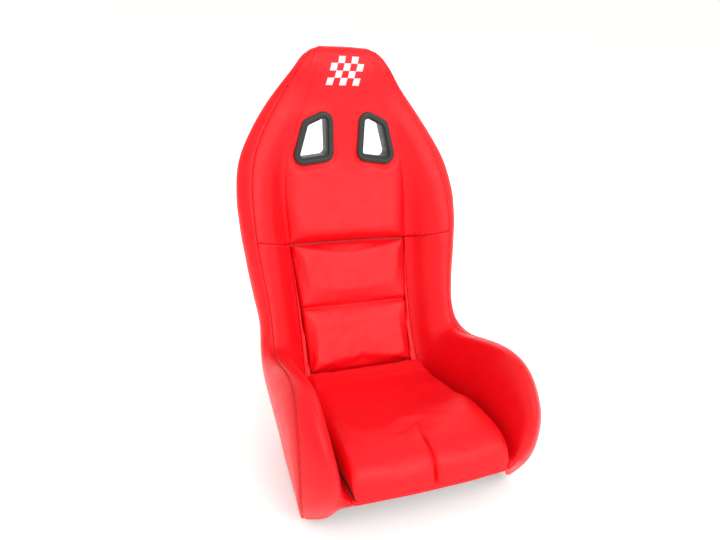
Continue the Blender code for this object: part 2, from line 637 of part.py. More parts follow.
def build_lumbar_pad(skin, looks):
    """The lumbar pad: two foam blocks in a sewn cover, closed by a fabric back with loop strips."""
    hook = -RECESS_DEPTH + PAD_GAP
    loop = hook + STRIP + PAD_GAP
    fabric = loop + STRIP + PAD_GAP
    inside = fabric + BACKING + PAD_GAP
    depth = PAD_FRONT - inside
    t_lines = [t for t in T_LINES if PAD_BOTTOM + 0.2 < t < PAD_TOP - 0.2]

    def height(p, t):
        return depth * (1.0 + 0.10 * (1 - p ** 2))

    def foam_height(p, t):
        return height(p, t) - VINYL - GLUE

    outer, _ = pad_grids(skin, pad_width, PAD_BOTTOM, PAD_TOP, t_lines, inside, height, 0.0, (0, 0))
    inner, _ = pad_grids(skin, pad_width, PAD_BOTTOM, PAD_TOP, t_lines, inside,
                         lambda p, t: height(p, t) - VINYL, 0.0, (0.011, 0.022))
    body_between("lumbar_pad_cover", outer, inner, looks["vinyl"])

    split = (PAD_BOTTOM + PAD_TOP) / 2
    for label, low, high in (("lower", PAD_BOTTOM + 0.026, split - 0.003),
                             ("upper", split + 0.003, PAD_TOP - 0.026)):
        lines = [t for t in T_LINES if low + 0.15 < t < high - 0.15]
        front, back = pad_grids(skin, pad_width, low, high, lines, inside + GAP, foam_height,
                                PAD_EDGE, (0.016, 0.0))
        body_between("lumbar_pad_foam_" + label, front, back, looks["foam"])

    t_all = lines_between(T_LINES, PAD_BOTTOM, PAD_TOP)
    t_grid, p_grid = np.meshgrid(t_all, PAD_ACROSS, indexing="ij")
    s_grid = p_grid * pad_width(t_grid)
    body_between("lumbar_pad_back", skin.at(s_grid, t_grid, fabric + BACKING),
                 skin.at(s_grid, t_grid, fabric), looks["lining"])
    for label, start in (("lower", 7.5), ("upper", 9.5)):
        for kind, floor, look in (("recess_hook", hook, "hook"), ("pad_loop", loop, "loop")):
            slab("%s_strip_%s" % (kind, label), skin, STRIP_ACROSS,
                 lines_between(T_LINES, start, start + STRIP_LENGTH), floor + STRIP, floor, looks[look])


CUSHION_WIDTH = 0.985     # half width of the seat cushion in guides
CUSHION_FRONT = 1.62      # stations at its ends
CUSHION_REAR = 6.80
# Height of the seat cushion's middle over the pan, and depth of the dish in it, by station.
CUSHION_RISE = {1.62: .012, 1.9: .036, 2.4: .058, 3.0: .071, 3.6: .080, 4.0: .082, 5.0: .073,
                6.0: .058, 6.5: .044, 6.8: .024}
CUSHION_DISH = {3.0: 0.0, 4.4: 0.010, 6.8: 0.006}


def cushion_height(p, t):
    """Height of the seat cushion over the pan: a thigh bulge in front, then a dished seat."""
    t = np.asarray(t, float)
    middle = np.interp(t, list(CUSHION_RISE), list(CUSHION_RISE.values()))
    dish = np.interp(t, list(CUSHION_DISH), list(CUSHION_DISH.values()))
    return middle - dish * (1 - p ** 2)


def cushion_grids(skin, low, high, floor, rim, side_trim, end_trim, top_trim):
    """Top and floor grids of the seat cushion; it rises straight up from the pan."""
    lines = [t for t in T_LINES if low + 0.25 < t < high - 0.2]
    across = dome_profile(rim, CUSHION_EDGE, 0.93)
    lengthwise = [(low, rim), (low, CUSHION_EDGE), (low + 0.10, 0.93)] + [(t, 1.0) for t in lines]
    lengthwise += [(high - 0.06, 0.93), (high, CUSHION_EDGE), (high, rim)]
    if rim == CUSHION_EDGE:
        lengthwise = lengthwise[1:-1]
    t_places = np.clip([t for t, _ in lengthwise], low + end_trim, high - end_trim)
    t_grid, p_grid = np.meshgrid(t_places, [p for p, _ in across], indexing="ij")
    s_grid = p_grid * (CUSHION_WIDTH - side_trim)
    shares = np.minimum.outer([h for _, h in lengthwise], [h for _, h in across])
    back = skin.at(s_grid, t_grid, pan_sink(t_grid) + floor)
    front = back.copy()
    front[..., 2] += shares * (cushion_height(p_grid, t_grid) - floor - top_trim)
    return front, back


def build_seat_cushion(skin, looks):
    """The seat cushion: a foam wedge in a sewn cover, closed underneath by fabric."""
    hook = PAD_GAP
    loop = hook + STRIP + PAD_GAP
    fabric = loop + STRIP + PAD_GAP
    inside = fabric + BACKING + PAD_GAP
    outer, _ = cushion_grids(skin, CUSHION_FRONT, CUSHION_REAR, inside, 0.0, 0.0, 0.0, 0.0)
    inner, _ = cushion_grids(skin, CUSHION_FRONT, CUSHION_REAR, inside, 0.0, 0.010, 0.030, VINYL)
    body_between("seat_cushion_cover", outer, inner, looks["vinyl"])
    top, base = cushion_grids(skin, CUSHION_FRONT + 0.36, CUSHION_REAR - 0.05, inside + GLUE,
                              CUSHION_EDGE, 0.016, 0.0, VINYL + GLUE)
    body_between("seat_cushion_foam", top, base, looks["foam"])

    faces = [cushion_grids(skin, CUSHION_FRONT, CUSHION_REAR, floor, CUSHION_EDGE, 0, 0, 0)[1]
             for floor in (fabric + BACKING, fabric)]
    body_between("seat_cushion_base", faces[0], faces[1], looks["lining"])
    for label, start in (("front", 2.5), ("rear", 5.0)):
        for kind, floor, look in (("pan_hook", hook, "hook"), ("cushion_loop", loop, "loop")):
            slab("%s_strip_%s" % (kind, label), skin, STRIP_ACROSS,
                 lines_between(T_LINES, start, start + STRIP_LENGTH), floor + STRIP, floor, looks[look])


def build_emblem(skin, looks):
    """A plain embroidered patch on the head."""
    s_lines = np.array([-.50, 0, .50])
    t_lines = lines_between(T_LINES, STATION["head"], STATION["top"])
    t_grid, s_grid = np.meshgrid(t_lines, s_lines, indexing="ij")
    bulge = back_bulge(s_grid, t_grid)
    body_between("headrest_emblem", skin.at(s_grid, t_grid, bulge + GAP + 0.0012),
                 skin.at(s_grid, t_grid, bulge + GAP), looks["thread"])


def main():
    for old in list(bpy.data.objects):
        bpy.data.objects.remove(old, do_unlink=True)
    looks = {
        "laminate": material("gelcoat_black", (0.012, 0.012, 0.013), 0.22),
        "rail": material("laminate_black", (0.020, 0.020, 0.021), 0.45),
        "vinyl": material("vinyl_red", (0.62, 0.016, 0.022), 0.42),
        "foam": material("foam_grey", (0.30, 0.30, 0.28), 0.95),
        "bezel": material("plastic_black", (0.030, 0.034, 0.032), 0.40),
        "rubber": material("rubber_black", (0.015, 0.015, 0.015), 0.70),
        "steel": material("zinc_steel", (0.62, 0.62, 0.60), 0.35, 1.0),
        "lining": material("lining_black", (0.025, 0.025, 0.025), 0.90),
        "hook": material("hook_black", (0.018, 0.018, 0.018), 0.85),
        "loop": material("loop_black", (0.022, 0.022, 0.022), 0.95),
        "thread": material("thread_white", (0.80, 0.80, 0.80), 0.60),
    }
    skin = Contour(contour_net(), S_LINES, T_LINES)
    tub = Contour(tub_net(skin), TUB_LINES, T_LINES)

    shell = build_tub(tub, looks)
    for side_name, side in (("right", -1), ("left", 1)):
        build_rail(tub, side_name, side, looks)
    cover, foam = build_centre(skin, tub, looks)
    build_sides(skin, tub, looks)
    for side_name, side in (("right", -1), ("left", 1)):
        build_slot(side_name, side, [cover, foam], [shell], looks)
    build_hem_trim(skin, looks)
    build_lumbar_pad(skin, looks)
    build_seat_cushion(skin, looks)
    build_emblem(skin, looks)


main()
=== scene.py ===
import math

import bmesh
import bpy
import numpy as np
from mathutils import Matrix, Vector


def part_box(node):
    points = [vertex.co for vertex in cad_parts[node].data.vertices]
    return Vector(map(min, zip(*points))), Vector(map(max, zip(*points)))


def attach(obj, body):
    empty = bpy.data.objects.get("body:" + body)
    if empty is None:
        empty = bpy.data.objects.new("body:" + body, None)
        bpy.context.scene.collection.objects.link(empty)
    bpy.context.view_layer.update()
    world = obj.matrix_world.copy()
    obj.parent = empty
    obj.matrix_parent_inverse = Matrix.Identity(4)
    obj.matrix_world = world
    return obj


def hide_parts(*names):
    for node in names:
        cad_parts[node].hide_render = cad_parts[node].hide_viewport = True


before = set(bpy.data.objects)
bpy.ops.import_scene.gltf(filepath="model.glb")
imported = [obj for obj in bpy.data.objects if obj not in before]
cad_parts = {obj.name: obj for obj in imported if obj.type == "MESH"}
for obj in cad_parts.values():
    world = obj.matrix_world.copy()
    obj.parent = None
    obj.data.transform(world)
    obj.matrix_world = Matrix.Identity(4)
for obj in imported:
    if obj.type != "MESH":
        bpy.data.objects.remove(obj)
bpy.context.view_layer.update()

# Looks of the bucket racing seat.  The upholstery's contour is the CAD part's own contour,
# read here as a smooth surface; every sewn panel, pad, strip and moulding is built on it.
# A place on the surface is (s, t): s counts guides from the centre line, t counts stations.

# ---------------------------------------------------------------- dimensions of the CAD part, metres
LAMINATE = 0.0050
GLUE = 0.0020
CONTOUR_ORIGIN = (0.0, 0.1254, 0.0310)
BACK_BULGE_LOW = 0.020
BACK_BULGE_HIGH = 0.006
RECESS_DEPTH = 0.010
RECESS_RIM_START = 0.003  # where the recess's floor starts to rise beside the pad, in guides
RECESS_RIM_WIDTH = 0.018
PAD_FRONT = 0.014
STRIP = 0.0012
STRIP_HALF_WIDTH = 0.75   # in guides
STRIP_LENGTH = 0.5        # in stations
LUMBAR_STRIPS = {"lower": 7.5, "upper": 9.5}   # stations where the strips start
CUSHION_STRIPS = {"front": 2.5, "rear": 5.0}
PAD_GAP = 0.0008
BACKING = 0.0010
SLOT_FLANGE = 0.0165
SLOT_WALL = 0.0040
SLOT_PROUD = 0.0045
SLOT_FLARE = 0.0060       # how much the collar widens from its front to its rear
RAIL_INNER = 0.64
RAIL_OUTER = 0.87
RAIL_START = 3.1
RAIL_END = 7.5
INSERT_RADIUS = 0.0115
INSERT_DEPTH = 0.0205

# Contour of the upholstery.  Each station is half a cross-section, from the centre line out
# over the bolster to the hem: centre, crease, wall, crest, seam, side, flank, hem.
CONTOUR = {
    "lip_under": [(0, -.204, .106), (.166, -.196, .101), (.193, -.180, .068), (.217, -.168, .050),
                  (.240, -.151, .041), (.244, -.144, .041), (.238, -.137, .040), (.225, -.130, .039)],
    "lip": [(0, -.226, .121), (.170, -.219, .120), (.198, -.212, .122), (.232, -.203, .122),
            (.256, -.175, .105), (.256, -.161, .085), (.248, -.150, .062), (.232, -.140, .043)],
    "thigh": [(0, -.206, .131), (.172, -.202, .130), (.196, -.214, .166), (.232, -.214, .191),
              (.262, -.182, .166), (.265, -.163, .138), (.255, -.140, .090), (.236, -.120, .042)],
    "pan_front": [(0, -.140, .124), (.172, -.140, .124), (.193, -.165, .190), (.228, -.184, .263),
                  (.262, -.160, .240), (.271, -.134, .208), (.262, -.105, .130), (.238, -.085, .041)],
    "pan_mid": [(0, -.050, .108), (.170, -.055, .110), (.191, -.085, .200), (.220, -.107, .304),
                (.254, -.102, .293), (.272, -.078, .252), (.262, -.045, .150), (.234, -.030, .042)],
    "pan_low": [(0, .040, .098), (.166, .030, .103), (.187, .010, .190), (.213, -.010, .287),
                (.244, -.015, .291), (.270, .000, .255), (.253, .035, .150), (.221, .045, .055)],
    "pelvis": [(0, .130, .104), (.158, .110, .112), (.182, .087, .180), (.209, .075, .258),
               (.239, .070, .266), (.263, .090, .243), (.243, .127, .165), (.206, .140, .090)],
    "hip_back": [(0, .185, .150), (.148, .168, .155), (.176, .147, .198), (.204, .142, .244),
                 (.231, .140, .253), (.252, .161, .251), (.240, .201, .212), (.207, .215, .160)],
    "lumbar": [(0, .222, .215), (.145, .212, .218), (.174, .186, .240), (.202, .175, .268),
               (.228, .172, .279), (.246, .194, .283), (.240, .232, .268), (.219, .256, .245)],
    "waist": [(0, .268, .300), (.146, .258, .302), (.176, .229, .316), (.205, .209, .335),
              (.231, .205, .342), (.252, .226, .345), (.250, .266, .334), (.233, .298, .325)],
    "midback": [(0, .315, .400), (.150, .306, .402), (.180, .273, .415), (.212, .247, .430),
                (.243, .243, .436), (.266, .264, .438), (.262, .306, .430), (.245, .345, .420)],
    "upper": [(0, .352, .500), (.155, .345, .502), (.185, .314, .512), (.216, .288, .525),
              (.248, .284, .530), (.274, .303, .532), (.270, .345, .524), (.252, .385, .515)],
    "shoulder": [(0, .384, .610), (.150, .379, .612), (.178, .361, .618), (.207, .347, .625),
                 (.235, .346, .628), (.260, .360, .628), (.257, .393, .622), (.242, .423, .616)],
    "neck": [(0, .399, .710), (.120, .397, .711), (.145, .392, .714), (.169, .390, .716),
             (.191, .394, .717), (.210, .406, .716), (.208, .429, .712), (.195, .447, .708)],
    "head": [(0, .411, .800), (.088, .411, .800), (.106, .412, .801), (.121, .414, .802),
             (.135, .418, .802), (.147, .427, .800), (.148, .443, .797), (.140, .455, .795)],
    "top": [(0, .424, .860), (.069, .420, .859), (.083, .420, .856), (.095, .420, .852),
            (.107, .422, .847), (.116, .428, .842), (.117, .441, .838), (.112, .453, .836)],
    "crown": [(0, .444, .882), (.060, .440, .881), (.072, .438, .877), (.083, .437, .873),
              (.093, .439, .866), (.101, .443, .858), (.103, .451, .851), (.099, .459, .848)],
    "nape": [(0, .468, .874), (.057, .465, .873), (.066, .463, .870), (.074, .461, .867),
             (.082, .461, .862), (.089, .463, .856), (.091, .466, .850), (.089, .469, .846)],
}
STATION = {name: index for index, name in enumerate(CONTOUR)}
FLAT = (0, .5, .88)       # guides added between the centre line and the crease
CREASE = 1
SEAM = 4
HEM = 7

# Depth of the tub's outer face behind the contour at each station from lip to crown.
TUB_DEPTH = {"lip": .0, "thigh": .018, "pan_front": .020, "pan_mid": .020, "pan_low": .020,
             "pelvis": .022, "hip_back": .026, "lumbar": .028, "waist": .030, "midback": .030,
             "upper": .032, "shoulder": .037, "neck": .043, "head": .044, "top": .036,
             "crown": .016}
TUB_SIDE_DEPTH = 0.0065
TUB_EDGE_DEPTH = 0.0090
SKIRT_FOOT = 0.020
TUB_LIP_PAN = (0.0, 0.0120, -0.0020)
TUB_LIP_SIDE = (-0.0065, 0.0300, 0.0080)
TUB_EDGE = 6
TUB_START = 1.5
TUB_END = 16.0
SIDE_SEAM = 10.33
PAD_TOP = 10.24
PAD_BOTTOM = 7.12
PAN_SINK_START = 6.0
PAN_END = 6.90
COVER_START = 0.12
COVER_END = 17.0
TRIM_START = 1.7
CUSHION_WIDTH = 0.985
CUSHION_FRONT = 1.62
CUSHION_NOSE = 1.32       # station of the front edge of the cover, which overhangs the base
CUSHION_REAR = 6.80
SLOT_CORNERS = [(.035, .750), (.109, .716), (.139, .608), (.030, .622)]
SLOT_RADIUS = 0.024
SLOT_FRONT = (.379, .620, .115)   # a plane: y at height z, and its slope dy/dz
SLOT_REAR = (.4290, .620, .165)

# ---------------------------------------------------------------- dimensions of the looks
CUSHION_FLARE = 0.011     # how far the cushion's cover spreads over its sides
PAD_OVERHANG_LOW = 0.06   # how far the pad's cover passes its fabric back, in stations
PAD_OVERHANG_HIGH = 0.05
PAD_WIDTH_LOW = 0.885     # half width of the pad's cover in guides, at its bottom and top
PAD_WIDTH_HIGH = 0.980
PAD_SEAM_RISE = 0.23      # lifts the sewn line across the pad above its middle
PAD_SAG = 0.13            # how far the pad's lower edge bows down, in stations
PITCH = 0.0042            # spacing of the mesh on the covers
SEAM_GAP = 0.0025         # half the gap between two sewn panels, in guides or stations
SEAM_ROLL = 0.0055        # how far from a seam the cover starts to roll in
SEAM_DEPTH = 0.0022
PUCKER = 0.00045          # height of the small gathers that the stitching pulls into the cover
PUCKER_LENGTH = 0.0165
PUCKER_REACH = 0.0080
SLACK = 0.0006            # height of the long soft waves in the cover
PANEL = 0.0055            # thickness of a padded panel in the looks
SIDE_PANEL = 0.0028
STITCH_PITCH = 0.0052
STITCH_LENGTH = 0.0037
STITCH_RADIUS = 0.00052
STITCH_OFFSET = 0.0036    # from the seam line to each row of stitches


# ---------------------------------------------------------------- surfaces
def spline_weights(knots, places):
    """Weights of a natural cubic spline: one row for each place, one column for each knot."""
    count = len(knots)
    step = np.diff(knots)
    left = np.zeros((count, count))
    right = np.zeros((count, count))
    left[0, 0] = left[-1, -1] = 1.0
    for i in range(1, count - 1):
        left[i, i - 1:i + 2] = step[i - 1], 2 * (step[i - 1] + step[i]), step[i]
        right[i, i - 1:i + 2] = 6 / step[i - 1], -6 / step[i - 1] - 6 / step[i], 6 / step[i]
    bend = np.linalg.solve(left, right)
    cell = np.clip(np.searchsorted(knots, places, side="right") - 1, 0, count - 2)
    width = step[cell]
    low = (knots[cell + 1] - places) / width
    high = 1.0 - low
    weights = np.zeros((len(places), count))
    rows = np.arange(len(places))
    weights[rows, cell] += low
    weights[rows, cell + 1] += high
    weights += ((low ** 3 - low) * width ** 2 / 6)[:, None] * bend[cell]
    weights += ((high ** 3 - high) * width ** 2 / 6)[:, None] * bend[cell + 1]
    return weights


def chord_knots(net):
    """Mean distance between the rows of a net, added up."""
    steps = np.linalg.norm(np.diff(net, axis=0), axis=2).mean(axis=1)
    return np.concatenate([[0.0], np.cumsum(steps)])


class Surface:
    """A smooth surface through mirrored half cross-sections."""

    def __init__(self, half_net):
        half = np.array(half_net, dtype=float)
        mirrored = half[:, :0:-1] * (-1.0, 1.0, 1.0)
        self.net = np.concatenate([mirrored, half], axis=1)
        half_marks = list(FLAT) + list(range(CREASE, half.shape[1] - len(FLAT) + CREASE))
        self.marks = [-mark for mark in half_marks[:0:-1]] + half_marks
        self.stations = np.arange(len(half))
        self.s_knots = chord_knots(self.net.transpose(1, 0, 2))
        self.t_knots = chord_knots(self.net)

    def weights(self, s, t):
        across = spline_weights(self.s_knots, np.interp(s, self.marks, self.s_knots))
        along = spline_weights(self.t_knots, np.interp(t, self.stations, self.t_knots))
        return across, along

    def on_grid(self, s, t):
        across, along = self.weights(s, t)
        return np.einsum("vi,ijk,uj->vuk", along, self.net, across, optimize=True)

    def on_places(self, s, t):
        across, along = self.weights(s, t)
        return np.einsum("ni,ijk,nj->nk", along, self.net, across, optimize=True)

    def normals(self, sample, s, t):
        """Unit normals, from the differences between nearby samples."""
        nudge = 0.01
        s = np.clip(s, self.marks[0] + nudge, self.marks[-1] - nudge)
        t = np.clip(t, nudge, self.stations[-1] - nudge)
        over_s = sample(s + nudge, t) - sample(s - nudge, t)
        over_t = sample(s, t + nudge) - sample(s, t - nudge)
        normals = np.cross(over_s, over_t)
        return normals / np.linalg.norm(normals, axis=-1, keepdims=True)

    def grid(self, s, t):
        """Points and normals at every pair of a line of s and a line of t."""
        return self.on_grid(s, t), self.normals(self.on_grid, s, t)

    def at(self, s, t, offset=0.0):
        """Points at single places, moved out along the normals."""
        s, t, offset = np.broadcast_arrays(np.asarray(s, float), np.asarray(t, float), offset)
        flat_s = s.ravel()
        flat_t = t.ravel()
        points = self.on_places(flat_s, flat_t)
        points = points + self.normals(self.on_places, flat_s, flat_t) * offset.ravel()[:, None]
        return points.reshape(s.shape + (3,))

    def s_lines(self, low, high, pitch=PITCH):
        return spaced(self.s_knots, self.marks, low, high, pitch)

    def t_lines(self, low, high, pitch=PITCH):
        return spaced(self.t_knots, self.stations, low, high, pitch)


def spaced(knots, marks, low, high, pitch):
    """Marks from low to high, evenly spaced in metres, with closer ones where an edge rolls in."""
    start, end = np.interp([low, high], marks, knots)
    even = np.linspace(start, end, max(3, math.ceil((end - start) / pitch)) + 1)
    near = np.array([0.12, 0.30, 0.60]) * (even[1] - even[0])
    inner = np.sort(np.concatenate([even[1:-1], start + near, end - near]))
    return np.concatenate([[low], np.interp(inner, knots, marks), [high]])


def contour_net():
    """The contour in the part's frame, with the added guides of its nearly flat middle."""
    net = []
    for points in CONTOUR.values():
        half = np.array(points, dtype=float) - CONTOUR_ORIGIN
        centre = half[0]
        crease = half[CREASE]
        middle = [centre + (crease - centre) * (share, share ** 2, share ** 2) for share in FLAT]
        net.append(np.concatenate([middle, half[CREASE:]]))
    return net


def tub_net(skin):
    """Guides of the tub's outer face, behind the upholstery."""
    net = []
    for name, depth in TUB_DEPTH.items():
        t = STATION[name]
        middle = skin.at(FLAT + (CREASE,), t, -depth)
        at_lip = name == "lip"
        side_depth = 0.0 if at_lip else -TUB_SIDE_DEPTH
        hem, flank, side = skin.at((HEM, HEM - 1, HEM - 2), t, side_depth)
        edge = skin.at(SEAM, t, 0.0 if at_lip else -TUB_EDGE_DEPTH)
        outer = np.array([hem - (SKIRT_FOOT, 0, 0), hem, flank, side, edge])
        if at_lip:
            middle = middle + np.array(TUB_LIP_PAN)
            outer = outer + TUB_LIP_SIDE
        net.append(np.concatenate([middle, outer]))
    # The first station carries the lip's direction on, so that the surface ends straight.
    return [2 * net[0] - net[1]] + net


SKIN = Surface(contour_net())
TUB = Surface(tub_net(SKIN))


def smooth_step(x):
    x = np.clip(x, 0.0, 1.0)
    return x * x * (3 - 2 * x)


def quarter_round(share):
    """0 at a share of 0, rising like a quarter circle to 1 at a share of 1."""
    return np.sqrt(1.0 - (1.0 - np.clip(share, 0.0, 1.0)) ** 2)


# ---------------------------------------------------------------- mesh helpers
def add_piece(name, vertices, faces, look, slot, body, sharp=40):
    """A mesh piece of one material that rides on a CAD body."""
    mesh = bpy.data.meshes.new(name)
    mesh.from_pydata(np.asarray(vertices, float).tolist(), [], faces)
    mesh.materials.append(look)
    mesh.shade_smooth()
    mesh.set_sharp_from_angle(angle=math.radians(sharp))
    piece = bpy.data.objects.new(name, mesh)
    bpy.context.scene.collection.objects.link(piece)
    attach(piece, body)
    return piece


def closed_grid(front, back, skip=None):
    """Vertices and quads of the body between two grids, less the cells to skip."""
    rows, columns = front.shape[:2]
    keep = np.zeros((rows + 1, columns + 1), bool)
    keep[1:-1, 1:-1] = True if skip is None else ~skip
    index = np.arange(rows * columns).reshape(rows, columns)
    behind = rows * columns
    faces = []
    for i, j in np.argwhere(keep):
        corners = [int(index[place]) for place in ((i - 1, j - 1), (i - 1, j), (i, j), (i, j - 1))]
        faces.append(tuple(corners))
        faces.append(tuple(behind + c for c in reversed(corners)))
        missing = (not keep[i - 1, j], not keep[i, j + 1], not keep[i + 1, j], not keep[i, j - 1])
        for side, open_side in enumerate(missing):
            if open_side:
                here = corners[side]
                after = corners[(side + 1) % 4]
                faces.append((after, here, behind + here, behind + after))
    vertices = np.concatenate([front.reshape(-1, 3), back.reshape(-1, 3)])
    used = np.unique(np.array(faces))
    renumber = np.full(len(vertices), -1)
    renumber[used] = np.arange(len(used))
    return vertices[used], renumber[np.array(faces)].tolist()


def mirrored(grid):
    return grid[:, ::-1] * (-1.0, 1.0, 1.0)


def swept(rings, closed):
    """Vertices and faces of a body through rings; it joins up, or both ends are capped."""
    rings = np.asarray(rings, float)
    count, around = rings.shape[:2]
    faces = []
    for i in range(count if closed else count - 1):
        after = (i + 1) % count
        for j in range(around):
            k = (j + 1) % around
            faces.append((i * around + j, i * around + k, after * around + k, after * around + j))
    if not closed:
        faces.append(tuple(reversed(range(around))))
        faces.append(tuple(range((count - 1) * around, count * around)))
    return rings.reshape(-1, 3), faces


def face_out(piece):
    mesh = bmesh.new()
    mesh.from_mesh(piece.data)
    bmesh.ops.recalc_face_normals(mesh, faces=mesh.faces)
    mesh.to_mesh(piece.data)
    mesh.free()
    return piece


# ---------------------------------------------------------------- materials
class Look:
    """A Principled material whose detail comes from procedural nodes."""

    def __init__(self, name, roughness, metallic=0.0, **constants):
        self.material = bpy.data.materials.new(name)
        self.material.use_nodes = True
        self.tree = self.material.node_tree
        self.shader = self.tree.nodes["Principled BSDF"]
        self.shader.inputs["Metallic"].default_value = metallic
        self.shader.inputs["Roughness"].default_value = roughness
        for socket, value in constants.items():
            self.shader.inputs[socket.replace("_", " ")].default_value = value
        self.place = self.tree.nodes.new("ShaderNodeTexCoord").outputs["Object"]
        self.bump = None

    def node(self, kind, inputs=(), **settings):
        made = self.tree.nodes.new(kind)
        for setting, value in settings.items():
            setattr(made, setting, value)
        for socket, value in dict(inputs).items():
            if isinstance(value, bpy.types.NodeSocket):
                self.tree.links.new(value, made.inputs[socket])
            else:
                made.inputs[socket].default_value = value
        return made

    def stretched(self, scale):
        """The object's coordinates, scaled by axis."""
        return self.node("ShaderNodeMapping", {"Vector": self.place, "Scale": scale}).outputs["Vector"]

    def noise(self, scale, detail=3.0, roughness=0.5, distortion=0.0, vector=None):
        inputs = {"Vector": vector or self.place, "Scale": scale, "Detail": detail,
                  "Roughness": roughness, "Distortion": distortion}
        return self.node("ShaderNodeTexNoise", inputs).outputs["Fac"]

    def cells(self, scale, feature="F1", vector=None):
        inputs = {"Vector": vector or self.place, "Scale": scale}
        return self.node("ShaderNodeTexVoronoi", inputs, feature=feature).outputs["Distance"]

    def waves(self, scale, direction, vector=None, distortion=0.0):
        inputs = {"Vector": vector or self.place, "Scale": scale, "Distortion": distortion}
        return self.node("ShaderNodeTexWave", inputs, bands_direction=direction).outputs["Fac"]

    def edges(self):
        """How far the surface bends outward."""
        return self.node("ShaderNodeNewGeometry").outputs["Pointiness"]

    def ranged(self, value, low, high, to_low, to_high):
        inputs = {"Value": value, "From Min": low, "From Max": high, "To Min": to_low,
                  "To Max": to_high}
        return self.node("ShaderNodeMapRange", inputs).outputs["Result"]

    def times(self, a, b):
        return self.node("ShaderNodeMath", {0: a, 1: b}, operation="MULTIPLY").outputs["Value"]

    def mixed(self, share, first, second):
        """A colour between two, by a share."""
        mix = self.node("ShaderNodeMix", {"Factor": share}, data_type="RGBA")
        for socket, value in ((mix.inputs[6], first), (mix.inputs[7], second)):
            if isinstance(value, bpy.types.NodeSocket):
                self.tree.links.new(value, socket)
            else:
                socket.default_value = (*value, 1.0)
        return mix.outputs[2]

    def raised(self, height, distance, strength=1.0):
        """Adds a layer of bump, its height in metres."""
        inputs = {"Height": height, "Distance": distance, "Strength": strength}
        if self.bump is not None:
            inputs["Normal"] = self.bump
        self.bump = self.node("ShaderNodeBump", inputs).outputs["Normal"]

    def finish(self, colour, roughness=None):
        self.tree.links.new(colour, self.shader.inputs["Base Color"])
        if roughness is not None:
            self.tree.links.new(roughness, self.shader.inputs["Roughness"])
        if self.bump is not None:
            self.tree.links.new(self.bump, self.shader.inputs["Normal"])
        return self.material


RED = (0.84, 0.002, 0.008)
RED_DEEP = (0.70, 0.001, 0.005)
RED_WORN = (0.88, 0.030, 0.036)


def vinyl_red():
    """Coated red vinyl: fine leather grain, soft creases, slow changes of tone, rubbed high spots."""
    look = Look("vinyl_red", 0.40, Specular_IOR_Level=0.26, Sheen_Weight=0.02, Sheen_Roughness=0.40,
                Coat_Weight=0.03, Coat_Roughness=0.30)
    tone = look.ranged(look.noise(7.0, 4.0, 0.55), 0.35, 0.70, 0.0, 1.0)
    grain = look.cells(820.0, "SMOOTH_F1")
    pebble = look.noise(1500.0, 2.0)
    crease = look.noise(26.0, 5.0, 0.62, 0.6)
    worn = look.ranged(look.edges(), 0.53, 0.60, 0.0, 0.35)
    colour = look.mixed(look.times(tone, 0.55), RED, RED_DEEP)
    colour = look.mixed(look.times(worn, look.noise(60.0, 4.0)), colour, RED_WORN)
    colour = look.mixed(look.ranged(grain, 0.30, 0.75, 0.0, 0.22), colour, RED_DEEP)
    look.raised(crease, 0.0016, 0.35)
    look.raised(grain, 0.00022, 0.60)
    look.raised(pebble, 0.00008, 0.50)
    rough = look.ranged(look.noise(38.0, 4.0), 0.3, 0.7, 0.33, 0.47)
    return look.finish(colour, rough)


def thread(name, light, dark):
    """Twisted sewing thread."""
    look = Look(name, 0.62, Sheen_Weight=0.25)
    twist = look.waves(900.0, "DIAGONAL", distortion=1.0)
    look.raised(twist, 0.0002, 0.8)
    return look.finish(look.mixed(twist, dark, light), look.ranged(twist, 0.0, 1.0, 0.75, 0.5))


def gelcoat_black():
    """Glossy moulded gelcoat with a slight ripple, dust and fine scratches."""
    look = Look("gelcoat_black", 0.16, Coat_Weight=0.5, Coat_Roughness=0.06)
    ripple = look.noise(95.0, 2.0)
    scratch = look.noise(14.0, 8.0, 0.75, vector=look.stretched((5.0, 60.0, 60.0)))
    dust = look.ranged(look.noise(210.0, 6.0, 0.7), 0.52, 0.80, 0.0, 0.45)
    look.raised(ripple, 0.00035, 0.30)
    look.raised(scratch, 0.00010, 0.35)
    colour = look.mixed(dust, (0.010, 0.010, 0.011), (0.045, 0.045, 0.047))
    rough = look.ranged(scratch, 0.35, 0.75, 0.12, 0.30)
    return look.finish(colour, rough)


def laminate_black():
    """Hand-laid laminate: resin over a glass weave."""
    look = Look("laminate_black", 0.42)
    weave = look.times(look.waves(130.0, "X"), look.waves(130.0, "Y"))
    lumps = look.noise(55.0, 5.0, 0.6)
    look.raised(lumps, 0.0012, 0.5)
    look.raised(weave, 0.0004, 0.6)
    lump_share = look.ranged(lumps, 0.4, 0.7, 0.0, 1.0)
    colour = look.mixed(lump_share, (0.014, 0.014, 0.015), (0.040, 0.040, 0.042))
    return look.finish(colour, look.ranged(weave, 0.0, 1.0, 0.34, 0.56))


def plastic_black():
    """Moulded plastic with a spark-eroded texture and slightly polished edges."""
    look = Look("plastic_black", 0.48, Specular_IOR_Level=0.35)
    pits = look.cells(1300.0)
    haze = look.noise(90.0, 4.0)
    edge = look.ranged(look.edges(), 0.52, 0.60, 0.0, 1.0)
    look.raised(pits, 0.00012, 0.5)
    colour = look.mixed(haze, (0.018, 0.022, 0.018), (0.034, 0.038, 0.034))
    colour = look.mixed(look.times(edge, 0.5), colour, (0.060, 0.066, 0.060))
    return look.finish(colour, look.ranged(haze, 0.3, 0.7, 0.42, 0.58))


